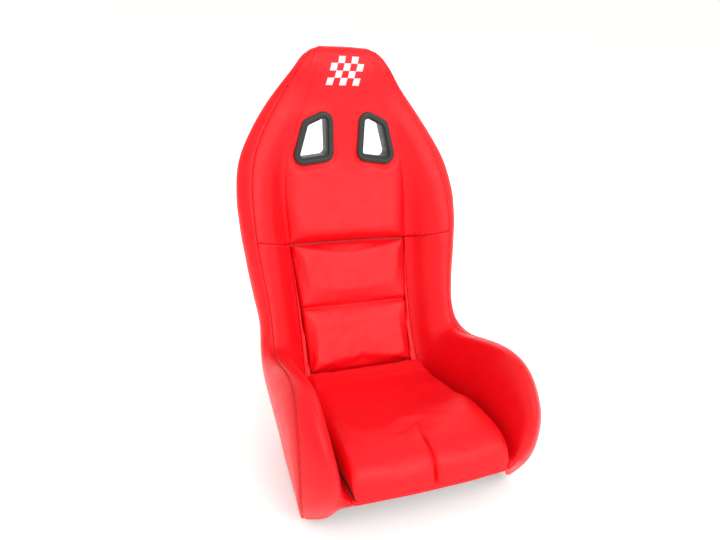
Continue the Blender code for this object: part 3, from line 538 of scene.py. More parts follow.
def rubber_black():
    """Extruded rubber with mould lines and chalky bloom."""
    look = Look("rubber_black", 0.68)
    bloom = look.noise(70.0, 5.0, 0.6)
    lines = look.waves(420.0, "Z", distortion=0.4)
    look.raised(lines, 0.00012, 0.4)
    look.raised(look.noise(1200.0, 2.0), 0.00010, 0.5)
    bloom_share = look.ranged(bloom, 0.45, 0.75, 0.0, 1.0)
    colour = look.mixed(bloom_share, (0.011, 0.011, 0.012), (0.038, 0.038, 0.038))
    return look.finish(colour, look.ranged(bloom, 0.3, 0.7, 0.60, 0.80))


def woven_lining():
    """Plain-woven black fabric."""
    look = Look("lining_black", 0.88, Sheen_Weight=0.15, Sheen_Roughness=0.5)
    weave = look.times(look.waves(260.0, "X"), look.waves(260.0, "DIAGONAL"))
    fuzz = look.noise(900.0, 3.0)
    look.raised(weave, 0.00035, 0.8)
    look.raised(fuzz, 0.00012, 0.5)
    colour = look.mixed(weave, (0.012, 0.012, 0.013), (0.050, 0.050, 0.053))
    return look.finish(colour, look.ranged(fuzz, 0.3, 0.7, 0.80, 0.96))


def fastener(name, scale, depth, light):
    """One half of a hook-and-loop strip: stubble or fleece."""
    look = Look(name, 0.90, Sheen_Weight=0.35, Sheen_Roughness=0.6)
    stubble = look.cells(scale)
    patches = look.noise(45.0, 4.0)
    look.raised(stubble, depth, 1.0)
    look.raised(look.noise(scale * 2.5, 3.0), depth / 3, 0.7)
    colour = look.mixed(stubble, (0.010, 0.010, 0.010), light)
    colour = look.mixed(look.times(patches, 0.4), colour, (0.030, 0.030, 0.030))
    return look.finish(colour, look.ranged(patches, 0.3, 0.7, 0.82, 0.97))


def zinc_steel():
    """Zinc-plated steel with turning marks and dull patches."""
    look = Look("zinc_steel", 0.32, metallic=1.0)
    marks = look.noise(30.0, 6.0, 0.7, vector=look.stretched((10.0, 10.0, 130.0)))
    patches = look.noise(160.0, 4.0)
    look.raised(marks, 0.00008, 0.6)
    colour = look.mixed(patches, (0.52, 0.53, 0.54), (0.70, 0.69, 0.64))
    return look.finish(colour, look.ranged(marks, 0.3, 0.7, 0.24, 0.46))


def studio_floor():
    look = Look("studio_floor", 0.75, Emission_Color=(1.0, 1.0, 0.985, 1.0), Emission_Strength=0.25)
    cloud = look.noise(1.3, 3.0)
    look.raised(look.noise(60.0, 3.0), 0.0008, 0.1)
    return look.finish(look.mixed(cloud, (0.93, 0.93, 0.915), (0.95, 0.95, 0.935)))


LOOKS = {
    "vinyl": vinyl_red(),
    "gelcoat": gelcoat_black(),
    "rail": laminate_black(),
    "bezel": plastic_black(),
    "trim": rubber_black(),
    "lining": woven_lining(),
    "hook": fastener("hook_black", 620.0, 0.0008, (0.060, 0.060, 0.060)),
    "loop": fastener("loop_black", 420.0, 0.0011, (0.085, 0.085, 0.085)),
    "insert": zinc_steel(),
    "seam": thread("thread_red", (0.50, 0.012, 0.018), (0.16, 0.003, 0.006)),
    "embroidery": thread("thread_white", (0.90, 0.90, 0.90), (0.62, 0.62, 0.64)),
}


# ---------------------------------------------------------------- sewn panels
def slack_waves(points):
    """Long soft waves that run on from panel to panel."""
    x, y, z = np.moveaxis(points, -1, 0)
    broad = np.sin(31 * x + 17 * y + 2.1) * np.sin(23 * z - 11 * y + 0.4)
    fine = np.sin(57 * x + 29 * z + 1.3) * np.sin(41 * y + 37 * z + 0.9)
    return SLACK * (broad + 0.6 * fine)


def run_length(points, axis):
    """Distance along a grid's rows or columns from its first line."""
    steps = np.linalg.norm(np.diff(points, axis=axis), axis=2)
    start = np.zeros_like(np.take(steps, [0], axis=axis))
    return np.cumsum(np.concatenate([start, steps], axis=axis), axis=axis)


def seam_roll(points, s, t, edges):
    """How far the cover drops at its sewn edges, with the gathers beside them."""
    across = run_length(points, 1)
    along = run_length(points, 0)
    distances = {"s_low": across, "s_high": across[:, -1:] - across,
                 "t_low": along, "t_high": along[-1:] - along}
    total = np.zeros(points.shape[:2])
    for edge, depth in edges.items():
        place = t[:, None] if edge.startswith("s") else s[None, :]
        run = along if edge.startswith("s") else across
        deep = depth(place) if callable(depth) else depth
        distance = distances[edge]
        gathers = np.sin(2 * math.pi * run / PUCKER_LENGTH + 2.5 * np.sin(run * 23))
        total = total - deep * (1 - quarter_round(distance / SEAM_ROLL))
        total = total + deep / SEAM_DEPTH * PUCKER * gathers * np.exp(-distance / PUCKER_REACH)
    return total


def sewn_panel(name, s_range, t_range, edges, stands_for, thickness=PANEL, bulge=None, side=1,
               at_slots=False):
    """A padded vinyl panel on the contour, rolled in at its seams."""
    s = SKIN.s_lines(*s_range)
    t = SKIN.t_lines(*t_range)
    points, normals = SKIN.grid(s, t)
    base = np.zeros(points.shape[:2]) if bulge is None else bulge(s[None, :], t[:, None])
    lift = base + seam_roll(points, s, t, edges) + slack_waves(points)
    front = points + normals * lift[..., None]
    back = points + normals * (base - thickness)[..., None]
    skip = None
    if at_slots:
        sunk = SLOT_PROUD - 0.0010
        reach = 0.020
        hole = -0.0065
        front, skip = pressed_at_slots(front, SLOT_FRONT, sunk, reach, hole)
        back, _ = pressed_at_slots(back, SLOT_FRONT, sunk + thickness, reach, hole)
    if side < 0:
        front = mirrored(front)
        back = mirrored(back)
    vertices, faces = closed_grid(front, back, skip)
    piece = add_piece(name, vertices, faces, LOOKS["vinyl"], "vinyl", "seat")
    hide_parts(*stands_for)
    return piece


# ---------------------------------------------------------------- harness slots
def rounded_outline(grow, steps=9):
    """The slot's outline with arcs at its corners, moved out by a distance: (x, z) points."""
    corners = np.array(SLOT_CORNERS) - (CONTOUR_ORIGIN[0], CONTOUR_ORIGIN[2])
    points = []
    for i in range(len(corners)):
        before, here, after = (corners[(i + k) % len(corners)] for k in (-1, 0, 1))
        inward = (before - here) / np.linalg.norm(before - here)
        onward = (after - here) / np.linalg.norm(after - here)
        half = math.acos(float(np.dot(inward, onward))) / 2
        middle = (inward + onward) / np.linalg.norm(inward + onward)
        centre = here + middle * SLOT_RADIUS / math.sin(half)
        away = math.atan2(-middle[1], -middle[0])
        turn = math.pi / 2 - half
        for k in range(steps + 1):
            angle = away + turn - 2 * turn * k / steps
            points.append(centre + (SLOT_RADIUS + grow) * np.array([math.cos(angle), math.sin(angle)]))
    return np.array(points)


def plane_y(plane, z):
    y0, z0, slope = plane
    return y0 - CONTOUR_ORIGIN[1] + slope * (z - (z0 - CONTOUR_ORIGIN[2]))


def slot_distance(points):
    """Distance from each point to the slots' outline, seen from the front; negative inside."""
    outline = rounded_outline(0.0)
    places = np.stack([np.abs(points[..., 0]), points[..., 2]], axis=-1)[..., None, :]
    start = outline
    run = np.roll(outline, -1, axis=0) - outline
    share = ((places - start) * run).sum(-1) / (run ** 2).sum(-1)
    nearest = start + np.clip(share, 0, 1)[..., None] * run
    away = np.linalg.norm(places - nearest, axis=-1).min(-1)
    sideways = np.stack([-run[:, 1], run[:, 0]], axis=-1)
    within = (((places - start) * sideways).sum(-1) < 0).all(-1)
    return np.where(within, -away, away)


def pressed_at_slots(points, plane, depth, reach, hole):
    """Points drawn to a plane round the slots, and the grid cells that the holes take out."""
    distance = slot_distance(points)
    share = 1 - smooth_step((distance + 0.002) / reach)
    pressed = points.copy()
    target = plane_y(plane, points[..., 2]) + depth
    pressed[..., 1] = points[..., 1] + share * (target - points[..., 1])
    middle = (distance[:-1, :-1] + distance[1:, :-1] + distance[:-1, 1:] + distance[1:, 1:]) / 4
    return pressed, middle < hole


def slot_ring(grow, depth, plane, side):
    outline = rounded_outline(grow)
    return [(side * x, plane_y(plane, z) + depth, z) for x, z in outline]


def build_slot_bezels(side_name, side):
    """The front bezel with its deep collar, and the ring that closes it on the tub."""
    opening = -SLOT_FLANGE
    collar = opening + SLOT_WALL
    front = [(opening, 0.0120), (opening, 0.0040), (opening + 0.0004, 0.0016),
             (opening + 0.0016, 0.0006), (opening + 0.0032, 0.0004),
             (opening + 0.0038, -0.0022), (opening + 0.0048, -0.0038),
             (opening + 0.0064, -SLOT_PROUD), (-0.0052, -SLOT_PROUD), (-0.0026, -0.0040),
             (-0.0008, -0.0026), (0.0, -0.0006), (0.0, 0.0040), (collar, 0.0044)]
    rings = [slot_ring(grow, depth, SLOT_FRONT, side) for grow, depth in front]
    rings += [slot_ring(collar + SLOT_FLARE, 0.0010, SLOT_REAR, side),
              slot_ring(opening + SLOT_FLARE, 0.0010, SLOT_REAR, side)]
    piece = face_out(add_piece("slot_bezel_" + side_name, *swept(rings, True), LOOKS["bezel"], "bezel",
                               "seat"))
    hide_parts("slot_bezel_front_" + side_name)
    inside = collar + SLOT_FLARE + 0.0006
    rear = [(inside, 0.0012), (inside, 0.0046), (inside + 0.0008, 0.0056), (inside + 0.0020, 0.0060),
            (-0.0020, 0.0056), (-0.0002, 0.0046), (0.0010, 0.0030), (0.0010, 0.0012)]
    rings = [slot_ring(grow, depth, SLOT_REAR, side) for grow, depth in rear]
    piece = face_out(add_piece("slot_ring_" + side_name, *swept(rings, True), LOOKS["bezel"], "bezel",
                               "seat"))
    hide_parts("slot_bezel_rear_" + side_name)


# ---------------------------------------------------------------- covers
def back_bulge(s, t):
    """How far the upper back panel stands in front of the contour."""
    head = STATION["head"]
    fade = smooth_step((t - PAD_TOP) / (head - 1 - PAD_TOP))
    height = BACK_BULGE_LOW + (BACK_BULGE_HIGH - BACK_BULGE_LOW) * fade
    height = height * np.clip((STATION["crown"] - t) / (STATION["crown"] - head), 0.0, 1.0)
    height = -RECESS_DEPTH + (height + RECESS_DEPTH) * quarter_round((t - SIDE_SEAM) / 0.30)
    return height * (1.0 - 0.75 * np.abs(s) ** 8)


def wing_rise(s, t):
    """The wings start at the height of the back panel's edge and run out to the contour."""
    return back_bulge(1.0 + 0.0 * s, t) * (1 - smooth_step((s - 1.0) / 1.3))


def pan_sink(s, t):
    """The pan cover runs down to the floor of the lumbar recess at its rear end."""
    fade = np.clip((t - PAN_SINK_START) / (PAN_END - PAN_SINK_START), 0.0, 1.0)
    return -RECESS_DEPTH * fade + 0.0 * s


def pad_width(t):
    """Half width of the lumbar pad in guides, narrower at the bottom."""
    share = (t - PAD_BOTTOM) / (PAD_TOP - PAD_BOTTOM)
    return PAD_WIDTH_LOW + (PAD_WIDTH_HIGH - PAD_WIDTH_LOW) * share


def recess_floor(s, t):
    """The floor of the recess rises beside the pad."""
    beside = np.abs(s) - pad_width(t) - RECESS_RIM_START
    return -RECESS_DEPTH * (1 - smooth_step(beside / RECESS_RIM_WIDTH))


def crease_depth(t):
    """The seam between the back panel and the wings fades out towards the head."""
    return 0.7 * SEAM_DEPTH * (1 - smooth_step((t - 11.2) / 1.6))


def build_covers():
    sewn_panel("upper_back_panel", (-1 + SEAM_GAP, 1 - SEAM_GAP), (SIDE_SEAM, COVER_END),
               {"s_low": crease_depth, "s_high": crease_depth},
               ("upper_back_cover", "upper_back_foam"), bulge=back_bulge, at_slots=True)
    sewn_panel("recess_panel", (-1 + SEAM_GAP, 1 - SEAM_GAP), (PAN_END + 0.004, SIDE_SEAM + 0.02),
               {"t_low": SEAM_DEPTH}, ("recess_cover", "recess_foam"), bulge=recess_floor)
    sewn_panel("pan_panel", (-1 + SEAM_GAP, 1 - SEAM_GAP), (COVER_START, PAN_END - 0.004),
               {"s_low": SEAM_DEPTH, "s_high": SEAM_DEPTH, "t_high": SEAM_DEPTH},
               ("pan_cover", "pan_foam"), bulge=pan_sink)
    for side_name, side in (("right", -1), ("left", 1)):
        inner = (1 + SEAM_GAP, SEAM - SEAM_GAP)
        sewn_panel("bolster_panel_" + side_name, inner, (COVER_START, SIDE_SEAM - SEAM_GAP),
                   {"s_low": SEAM_DEPTH, "s_high": SEAM_DEPTH, "t_high": SEAM_DEPTH},
                   ("bolster_cover_" + side_name, "bolster_foam_" + side_name), side=side)
        sewn_panel("wing_panel_" + side_name, inner, (SIDE_SEAM + SEAM_GAP, COVER_END),
                   {"s_low": crease_depth, "s_high": SEAM_DEPTH, "t_low": SEAM_DEPTH},
                   ("wing_cover_" + side_name, "wing_foam_" + side_name), bulge=wing_rise, side=side)
        sewn_panel("outer_side_panel_" + side_name, (SEAM + SEAM_GAP, HEM), (COVER_START, COVER_END),
                   {"s_low": SEAM_DEPTH}, ("outer_side_cover_" + side_name,),
                   thickness=SIDE_PANEL, side=side)


def build_tub():
    """The moulded tub, with its two slots."""
    s = TUB.s_lines(-TUB_EDGE, TUB_EDGE)
    t = TUB.t_lines(TUB_START, TUB_END)
    points, normals = TUB.grid(s, t)
    sunk = 0.0010
    reach = 0.030
    hole = -0.0060
    inner, skip = pressed_at_slots(points + normals * LAMINATE, SLOT_REAR, sunk - LAMINATE, reach,
                                   hole)
    outer, _ = pressed_at_slots(points, SLOT_REAR, sunk, reach, hole)
    piece = add_piece("tub", *closed_grid(inner, outer, skip), LOOKS["gelcoat"], "gelcoat", "seat")
    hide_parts("shell")


def build_hem_trim():
    """The rubber bead round the back edge of the cover."""
    top = COVER_END - 0.001
    edge = HEM - 0.001
    side_t = SKIN.t_lines(TRIM_START, top)
    top_s = SKIN.s_lines(-edge, edge)[1:-1]
    s = np.concatenate([np.full(len(side_t), edge), top_s[::-1], np.full(len(side_t), -edge)])
    t = np.concatenate([side_t, np.full(len(top_s), top), side_t[::-1]])
    places = SKIN.at(s, t)
    normals = SKIN.at(s, t, 1.0) - places
    outward = np.zeros_like(places)
    sideways = places - SKIN.at(s - np.sign(s) * 0.2, t)
    upward = places - SKIN.at(s, t - 0.2)
    at_side = np.abs(s) > edge - 0.02
    at_top = t > top - 0.01
    outward[at_side] += sideways[at_side] / np.linalg.norm(sideways[at_side], axis=1, keepdims=True)
    outward[at_top] += upward[at_top] / np.linalg.norm(upward[at_top], axis=1, keepdims=True)
    middle = (0.0052, -0.0010)
    radii = (0.0028, 0.0024)
    angles = np.linspace(0, 2 * math.pi, 12, endpoint=False)
    rings = np.stack([places + outward * (middle[0] + radii[0] * math.cos(a))
                      + normals * (middle[1] + radii[1] * math.sin(a)) for a in angles], axis=1)
    piece = face_out(add_piece("hem_bead", *swept(rings, False), LOOKS["trim"], "trim", "seat"))
    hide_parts("hem_trim")


def build_rails():
    """The laminated rails under the pan, bored for their threaded inserts."""
    s = np.linspace(RAIL_INNER, RAIL_OUTER, 6)
    t = TUB.t_lines(RAIL_START, RAIL_END, 0.008)
    points, normals = TUB.grid(s, t)
    for side_name, side in (("right", -1), ("left", 1)):
        top = points - normals * GLUE
        floor = top * (1.0, 1.0, 0.0)
        if side < 0:
            top = mirrored(top)
            floor = mirrored(floor)
        piece = add_piece("rail_" + side_name, *closed_grid(top, floor), LOOKS["rail"], "rail",
                          "seat", 30)
        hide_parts("base_rail_" + side_name)
        for end in ("front", "rear"):
            low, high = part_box("insert_%s_%s" % (end, side_name))
            centre = (low + high) / 2
            circle = [(centre.x + INSERT_RADIUS * math.cos(a),
                       centre.y + INSERT_RADIUS * math.sin(a))
                      for a in np.linspace(0, 2 * math.pi, 32, endpoint=False)]
            rings = [[(x, y, z) for x, y in circle] for z in (-0.01, INSERT_DEPTH)]
            bore(piece, rings)
        round_over = piece.modifiers.new("rounded", "BEVEL")
        round_over.width = 0.0022
        round_over.segments = 3
        round_over.angle_limit = math.radians(50)


def bore(piece, rings):
    """Takes the body through two rings out of a piece."""
    mesh = bpy.data.meshes.new("cutter")
    vertices, faces = swept(rings, False)
    mesh.from_pydata(vertices.tolist(), [], faces)
    cutter = face_out(bpy.data.objects.new("cutter", mesh))
    bpy.context.scene.collection.objects.link(cutter)
    hole = piece.modifiers.new("bore", "BOOLEAN")
    hole.operation = "DIFFERENCE"
    hole.solver = "EXACT"
    hole.object = cutter
    graph = bpy.context.evaluated_depsgraph_get()
    piece.data = bpy.data.meshes.new_from_object(piece.evaluated_get(graph))
    piece.modifiers.clear()
    bpy.data.objects.remove(cutter)


# ---------------------------------------------------------------- stitching
def stitch_rows(name, rows, look, slot, body="seat"):
    """Sewing stitches along rows of (points, normals): small threads that dive in at both ends."""
    around = 6
    ends = ((-0.5, -0.0009, 0.55), (-0.36, 0.0001, 0.95), (0.0, 0.00035, 1.0), (0.36, 0.0001, 0.95),
            (0.5, -0.0009, 0.55))
    vertices = []
    faces = []
    for points, normals in rows:
        run = np.concatenate([[0.0], np.cumsum(np.linalg.norm(np.diff(points, axis=0), axis=1))])
        for k in range(int(run[-1] / STITCH_PITCH)):
            middle = (k + 0.5) * STITCH_PITCH
            places = [middle + share * STITCH_LENGTH for share, _, _ in ends]
            line = np.stack([np.interp(places, run, points[:, a]) for a in range(3)], axis=1)
            up = np.array([np.interp(middle, run, normals[:, a]) for a in range(3)])
            up /= np.linalg.norm(up)
            ahead = line[-1] - line[0]
            sideways = np.cross(up, ahead)
            sideways /= np.linalg.norm(sideways)
            first = len(vertices)
            for centre, (_, rise, girth) in zip(line, ends):
                for j in range(around):
                    angle = 2 * math.pi * j / around
                    vertices.append(centre + up * (rise + STITCH_RADIUS * girth * math.sin(angle))
                                    + sideways * STITCH_RADIUS * girth * math.cos(angle))
            for i in range(len(ends) - 1):
                for j in range(around):
                    n = (j + 1) % around
                    faces.append((first + i * around + j, first + i * around + n,
                                  first + (i + 1) * around + n, first + (i + 1) * around + j))
            last = first + (len(ends) - 1) * around
            faces.append(tuple(first + j for j in reversed(range(around))))
            faces.append(tuple(last + j for j in range(around)))
    return face_out(add_piece(name, vertices, faces, LOOKS[look], slot, body, 60))


def seam_row(s, t, shift_s=0.0, shift_t=0.0):
    """Points and normals beside a seam, moved sideways by a distance in metres."""
    places = SKIN.at(s, t)
    normals = SKIN.at(s, t, 1.0) - places
    nudge = 0.05
    aside = SKIN.at(s + nudge, t) - places if shift_s else SKIN.at(s, t + nudge) - places
    reach = nudge * (shift_s or shift_t) / np.linalg.norm(aside, axis=1)
    if shift_s:
        s = s + reach
    else:
        t = t + reach
    drop = -SEAM_DEPTH * (1 - quarter_round(abs(shift_s or shift_t) / SEAM_ROLL))
    lifted = SKIN.at(s, t, drop) + normals * slack_waves(places)[:, None]
    return lifted, normals


def build_stitching():
    t = SKIN.t_lines(0.6, COVER_END - 0.1)
    across = SKIN.s_lines(1.25, SEAM - 0.12)
    for side_name, side in (("right", -1), ("left", 1)):
        rows = []
        for shift in (-STITCH_OFFSET, STITCH_OFFSET):
            points, normals = seam_row(np.full(len(t), float(SEAM)), t, shift_s=shift)
            rows.append((points, normals))
        points, normals = seam_row(across, np.full(len(across), SIDE_SEAM), shift_t=-STITCH_OFFSET)
        rows.append((points, normals))
        rows = [(p * (side, 1, 1), n * (side, 1, 1)) for p, n in rows]
        stitch_rows("seam_stitches_" + side_name, rows, "seam", "vinyl")


# ---------------------------------------------------------------- pads
def layers(floor):
    """Offsets of the hook strips, loop strips, fabric back and cover above a pad's floor."""
    hook = floor + PAD_GAP
    loop = hook + STRIP + PAD_GAP
    fabric = loop + STRIP + PAD_GAP
    inside = fabric + BACKING + PAD_GAP
    return hook, loop, fabric, inside


def rounded_corners(u, v, corner_u, corner_v):
    """Moves the corners of the square from -1 to 1 onto arcs."""
    a = np.clip((np.abs(u) - 1 + corner_u) / corner_u, 0, 1)
    b = np.clip((np.abs(v) - 1 + corner_v) / corner_v, 0, 1)
    length = np.hypot(a, b)
    share = np.where(length > 0, np.maximum(a, b) / np.maximum(length, 1e-9), 1.0)
    new_u = np.where(a > 0, np.sign(u) * (1 - corner_u + a * share * corner_u), u)
    new_v = np.where(b > 0, np.sign(v) * (1 - corner_v + b * share * corner_v), v)
    return new_u, new_v


def pad_mesh(top, floor, wall_rows=4):
    """Vertices and faces of a closed pad between two grids, with rows of faces up its walls."""
    rows, columns = top.shape[:2]
    rim = [(0, j) for j in range(columns)]
    rim += [(i, columns - 1) for i in range(1, rows)]
    rim += [(rows - 1, j) for j in range(columns - 2, -1, -1)]
    rim += [(i, 0) for i in range(rows - 2, 0, -1)]
    index = np.arange(rows * columns).reshape(rows, columns)
    count = rows * columns
    vertices = [top.reshape(-1, 3), floor.reshape(-1, 3)]
    rings = [[int(index[place]) for place in rim]]
    rim_top = np.array([top[place] for place in rim])
    rim_floor = np.array([floor[place] for place in rim])
    for k in range(1, wall_rows):
        vertices.append(rim_top + (rim_floor - rim_top) * k / wall_rows)
        rings.append([2 * count + (k - 1) * len(rim) + m for m in range(len(rim))])
    rings.append([count + int(index[place]) for place in rim])
    faces = []
    for i in range(rows - 1):
        for j in range(columns - 1):
            a, b, c, d = (int(index[p]) for p in ((i, j), (i, j + 1), (i + 1, j + 1), (i + 1, j)))
            faces.append((a, b, c, d))
            faces.append((count + d, count + c, count + b, count + a))
    for upper, lower in zip(rings, rings[1:]):
        for m in range(len(rim)):
            n = (m + 1) % len(rim)
            faces.append((upper[n], upper[m], lower[m], lower[n]))
    return np.concatenate(vertices), faces


def swell(piece, held, pressure, cap):
    """Blows a closed piece up as cloth; the held vertices stay, and no other moves past the cap."""
    rest = np.array([v.co for v in piece.data.vertices])
    scene = bpy.context.scene
    group = piece.vertex_groups.new(name="held")
    group.add([int(v) for v in held], 1.0, "REPLACE")
    cloth = piece.modifiers.new("swell", "CLOTH")
    settings = cloth.settings
    settings.quality = 6
    settings.mass = 0.25
    settings.tension_stiffness = 25
    settings.compression_stiffness = 25
    settings.shear_stiffness = 12
    settings.bending_stiffness = 1.2
    settings.use_pressure = True
    settings.uniform_pressure_force = pressure
    settings.vertex_group_mass = "held"
    settings.effector_weights.gravity = 0.0
    for number in range(1, 21):
        scene.frame_set(number)
    graph = bpy.context.evaluated_depsgraph_get()
    swollen = np.array([v.co for v in piece.evaluated_get(graph).data.vertices])
    piece.modifiers.clear()
    piece.vertex_groups.clear()
    scene.frame_set(1)
    moved = swollen - rest
    length = np.linalg.norm(moved, axis=1, keepdims=True)
    moved = moved * np.minimum(1.0, cap / np.maximum(length, 1e-9))
    piece.data.vertices.foreach_set("co", (rest + moved).ravel())
    piece.data.update()
    return rest + moved


def pad_share(u, v, half_width, half_length, radius, edge):
    """Share of a pad's height: rounded over towards its rim, where it is the edge share."""
    near_side = np.clip(1 - (1 - np.abs(u)) * half_width / radius, 0, 1)
    near_end = np.clip(1 - (1 - np.abs(v)) * half_length / radius, 0, 1)
    near = np.clip(np.hypot(near_side, near_end), 0, 1)
    return edge + (1 - edge) * np.sqrt(1 - near ** 2)


def pad_lines(length, pitch):
    """Places from -1 to 1 with one at 0, closer together in the middle and at the ends."""
    half = math.ceil(length / 2 / pitch)
    even = np.linspace(0, 1, half + 1)
    near = np.array([0.25, 0.55]) / half
    right = np.sort(np.concatenate([even, near, 1 - near]))
    return np.concatenate([-right[:0:-1], right])


def valley(distance, width):
    return np.exp(-(distance / width) ** 2)


def build_lumbar_pad():
    """The lumbar pad: two channels of foam, sewn down across the middle."""
    hook, loop, fabric, inside = layers(-RECESS_DEPTH)
    half_width = 0.142
    half_length = 0.140
    u_lines = pad_lines(2 * half_width, 0.0048)
    v_lines = pad_lines(2 * half_length, 0.0048)
    u_grid, v_grid = np.meshgrid(u_lines, v_lines)
    u, v = rounded_corners(u_grid, v_grid, 0.045, 0.045)
    low = PAD_BOTTOM - PAD_OVERHANG_LOW
    high = PAD_TOP + PAD_OVERHANG_HIGH
    share = (v + 1) / 2
    share = share + PAD_SEAM_RISE * share * (1 - share)
    t = low + (high - low) * share - PAD_SAG * (1 - u ** 2) * (1 - share) ** 2
    seam = valley(v * half_length, 0.0050)
    width = pad_width(low + (high - low) * share) - 0.010 * seam
    height = PAD_FRONT - inside - 0.0020
    shares = pad_share(u, v, half_width, half_length, 0.011, 0.55)
    crown = 1.0 + 0.12 * (1 - u ** 2) * (1 - (2 * np.abs(v) - 1) ** 2)
    top = SKIN.at(u * width, t, inside + height * shares * crown - 0.0075 * seam)
    floor = SKIN.at(u * width, t, inside)
    piece = add_piece("lumbar_pad_sewn", *pad_mesh(top, floor), LOOKS["vinyl"], "vinyl",
                      "lumbar_pad", 50)
    count = top.shape[0] * top.shape[1]
    on_seam = np.flatnonzero((np.abs(v_grid) < 1e-6).ravel())
    swell(piece, list(on_seam) + list(range(count, 2 * count)), 3.2, 0.0060)
    finish_pad(piece, "lumbar_pad_cover", "lumbar_pad_foam_lower", "lumbar_pad_foam_upper")

    across = SKIN.s_lines(-1, 1, 0.008)
    t_back, across = np.meshgrid(SKIN.t_lines(PAD_BOTTOM + 0.05, PAD_TOP - 0.05, 0.008), across,
                                 indexing="ij")
    places = (across * (pad_width(t_back) - 0.020), t_back)
    back = closed_grid(SKIN.at(*places, fabric + BACKING), SKIN.at(*places, fabric))
    piece = add_piece("lumbar_pad_lining", *back, LOOKS["lining"], "lining", "lumbar_pad")
    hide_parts("lumbar_pad_back")
    for label, start in LUMBAR_STRIPS.items():
        strip("recess_hooks_" + label, start, hook, "hook", "seat", "recess_hook_strip_" + label)
        strip("pad_loops_" + label, start, loop, "loop", "lumbar_pad", "pad_loop_strip_" + label)


def strip(name, start, floor, kind, body, node):
    """One half of a hook-and-loop strip."""
    s = SKIN.s_lines(-STRIP_HALF_WIDTH, STRIP_HALF_WIDTH, 0.006)
    t = SKIN.t_lines(start, start + STRIP_LENGTH, 0.004)
    points, normals = SKIN.grid(s, t)
    x, y, z = np.moveaxis(points, -1, 0)
    tuft = 0.00012 * np.sin(2100 * x) * np.sin(1900 * z + 1700 * y)
    top = points + normals * (floor + STRIP + tuft)[..., None]
    piece = add_piece(name, *closed_grid(top, points + normals * floor), LOOKS[kind], kind, body)
    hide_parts(node)


def finish_pad(piece, *nodes):
    smooth = piece.modifiers.new("smooth", "SUBSURF")
    smooth.levels = 1
    smooth.render_levels = 1
    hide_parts(*nodes)


# Height of the seat cushion's middle over the pan, and depth of the dish in it, by station.
CUSHION_RISE = {1.2: .004, 1.62: .026, 1.9: .040, 2.4: .058, 3.0: .071, 3.6: .080, 4.0: .082,
                4.4: .077, 5.0: .072, 6.0: .058, 6.5: .050, 6.8: .038}
CUSHION_DISH = {1.2: 0.0, 3.0: 0.0, 3.7: .006, 4.4: .010, 5.6: .009, 6.8: .006}


def smooth_table(table, places):
    """Values of a spline through a table's entries."""
    weights = spline_weights(np.array(list(table), float), places.ravel())
    return (weights @ np.array(list(table.values()))).reshape(places.shape)


def cushion_height(u, t):
    """Height of the seat cushion over the pan: a thigh bulge in front, then a dished seat."""
    return smooth_table(CUSHION_RISE, t) - smooth_table(CUSHION_DISH, t) * (1 - u ** 2)


def build_seat_cushion():
    """The seat cushion, with the gathered pleat in the middle of its front."""
    hook, loop, fabric, inside = layers(0.0)
    half_width = 0.166
    half_length = 0.205
    u_lines = pad_lines(2 * half_width, 0.0050)
    v_lines = pad_lines(2 * half_length, 0.0050)
    u_grid, v_grid = np.meshgrid(u_lines, v_lines)
    u, v = rounded_corners(u_grid, v_grid, 0.07, 0.06)
    ends = np.interp([CUSHION_NOSE, CUSHION_REAR], SKIN.stations, SKIN.t_knots)
    t = np.interp(ends[0] + (ends[1] - ends[0]) * (v + 1) / 2, SKIN.t_knots, SKIN.stations)
    sink = pan_sink(u, t)
    floor = SKIN.at(u * (CUSHION_WIDTH - 0.012), t, sink + inside)
    shares = pad_share(u, v, half_width, half_length, 0.016, 0.62)
    pleat = valley(u * half_width, 0.0036) * smooth_step((3.3 - t) / 0.6)
    rise = (cushion_height(u, t) - inside - 0.003) * shares
    top = floor.copy()
    top[..., 0] += CUSHION_FLARE * np.sign(u) * np.abs(u) ** 3 * rise / CUSHION_RISE[3.0]
    top[..., 1] += 0.0080 * pleat * smooth_step((2.2 - t) / 0.5)
    top[..., 2] += rise - 0.0085 * pleat
    piece = add_piece("seat_cushion_sewn", *pad_mesh(top, floor), LOOKS["vinyl"], "vinyl",
                      "seat_cushion", 50)
    count = top.shape[0] * top.shape[1]
    on_pleat = np.flatnonzero(((np.abs(u_grid) < 1e-6) & (t < 3.4)).ravel())
    swell(piece, list(on_pleat) + list(range(count, 2 * count)), 3.4, 0.0060)
    finish_pad(piece, "seat_cushion_cover", "seat_cushion_foam")

    s = SKIN.s_lines(-CUSHION_WIDTH, CUSHION_WIDTH, 0.008)
    t_base = SKIN.t_lines(CUSHION_FRONT, CUSHION_REAR, 0.006)
    points, normals = SKIN.grid(s, t_base)
    sink = pan_sink(s[None, :], t_base[:, None])
    base = closed_grid(points + normals * (sink + fabric + BACKING)[..., None],
                       points + normals * (sink + fabric)[..., None])
    piece = add_piece("seat_cushion_lining", *base, LOOKS["lining"], "lining", "seat_cushion")
    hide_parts("seat_cushion_base")
    for label, start in CUSHION_STRIPS.items():
        strip("pan_hooks_" + label, start, hook, "hook", "seat", "pan_hook_strip_" + label)
        strip("cushion_loops_" + label, start, loop, "loop", "seat_cushion",
              "cushion_loop_strip_" + label)


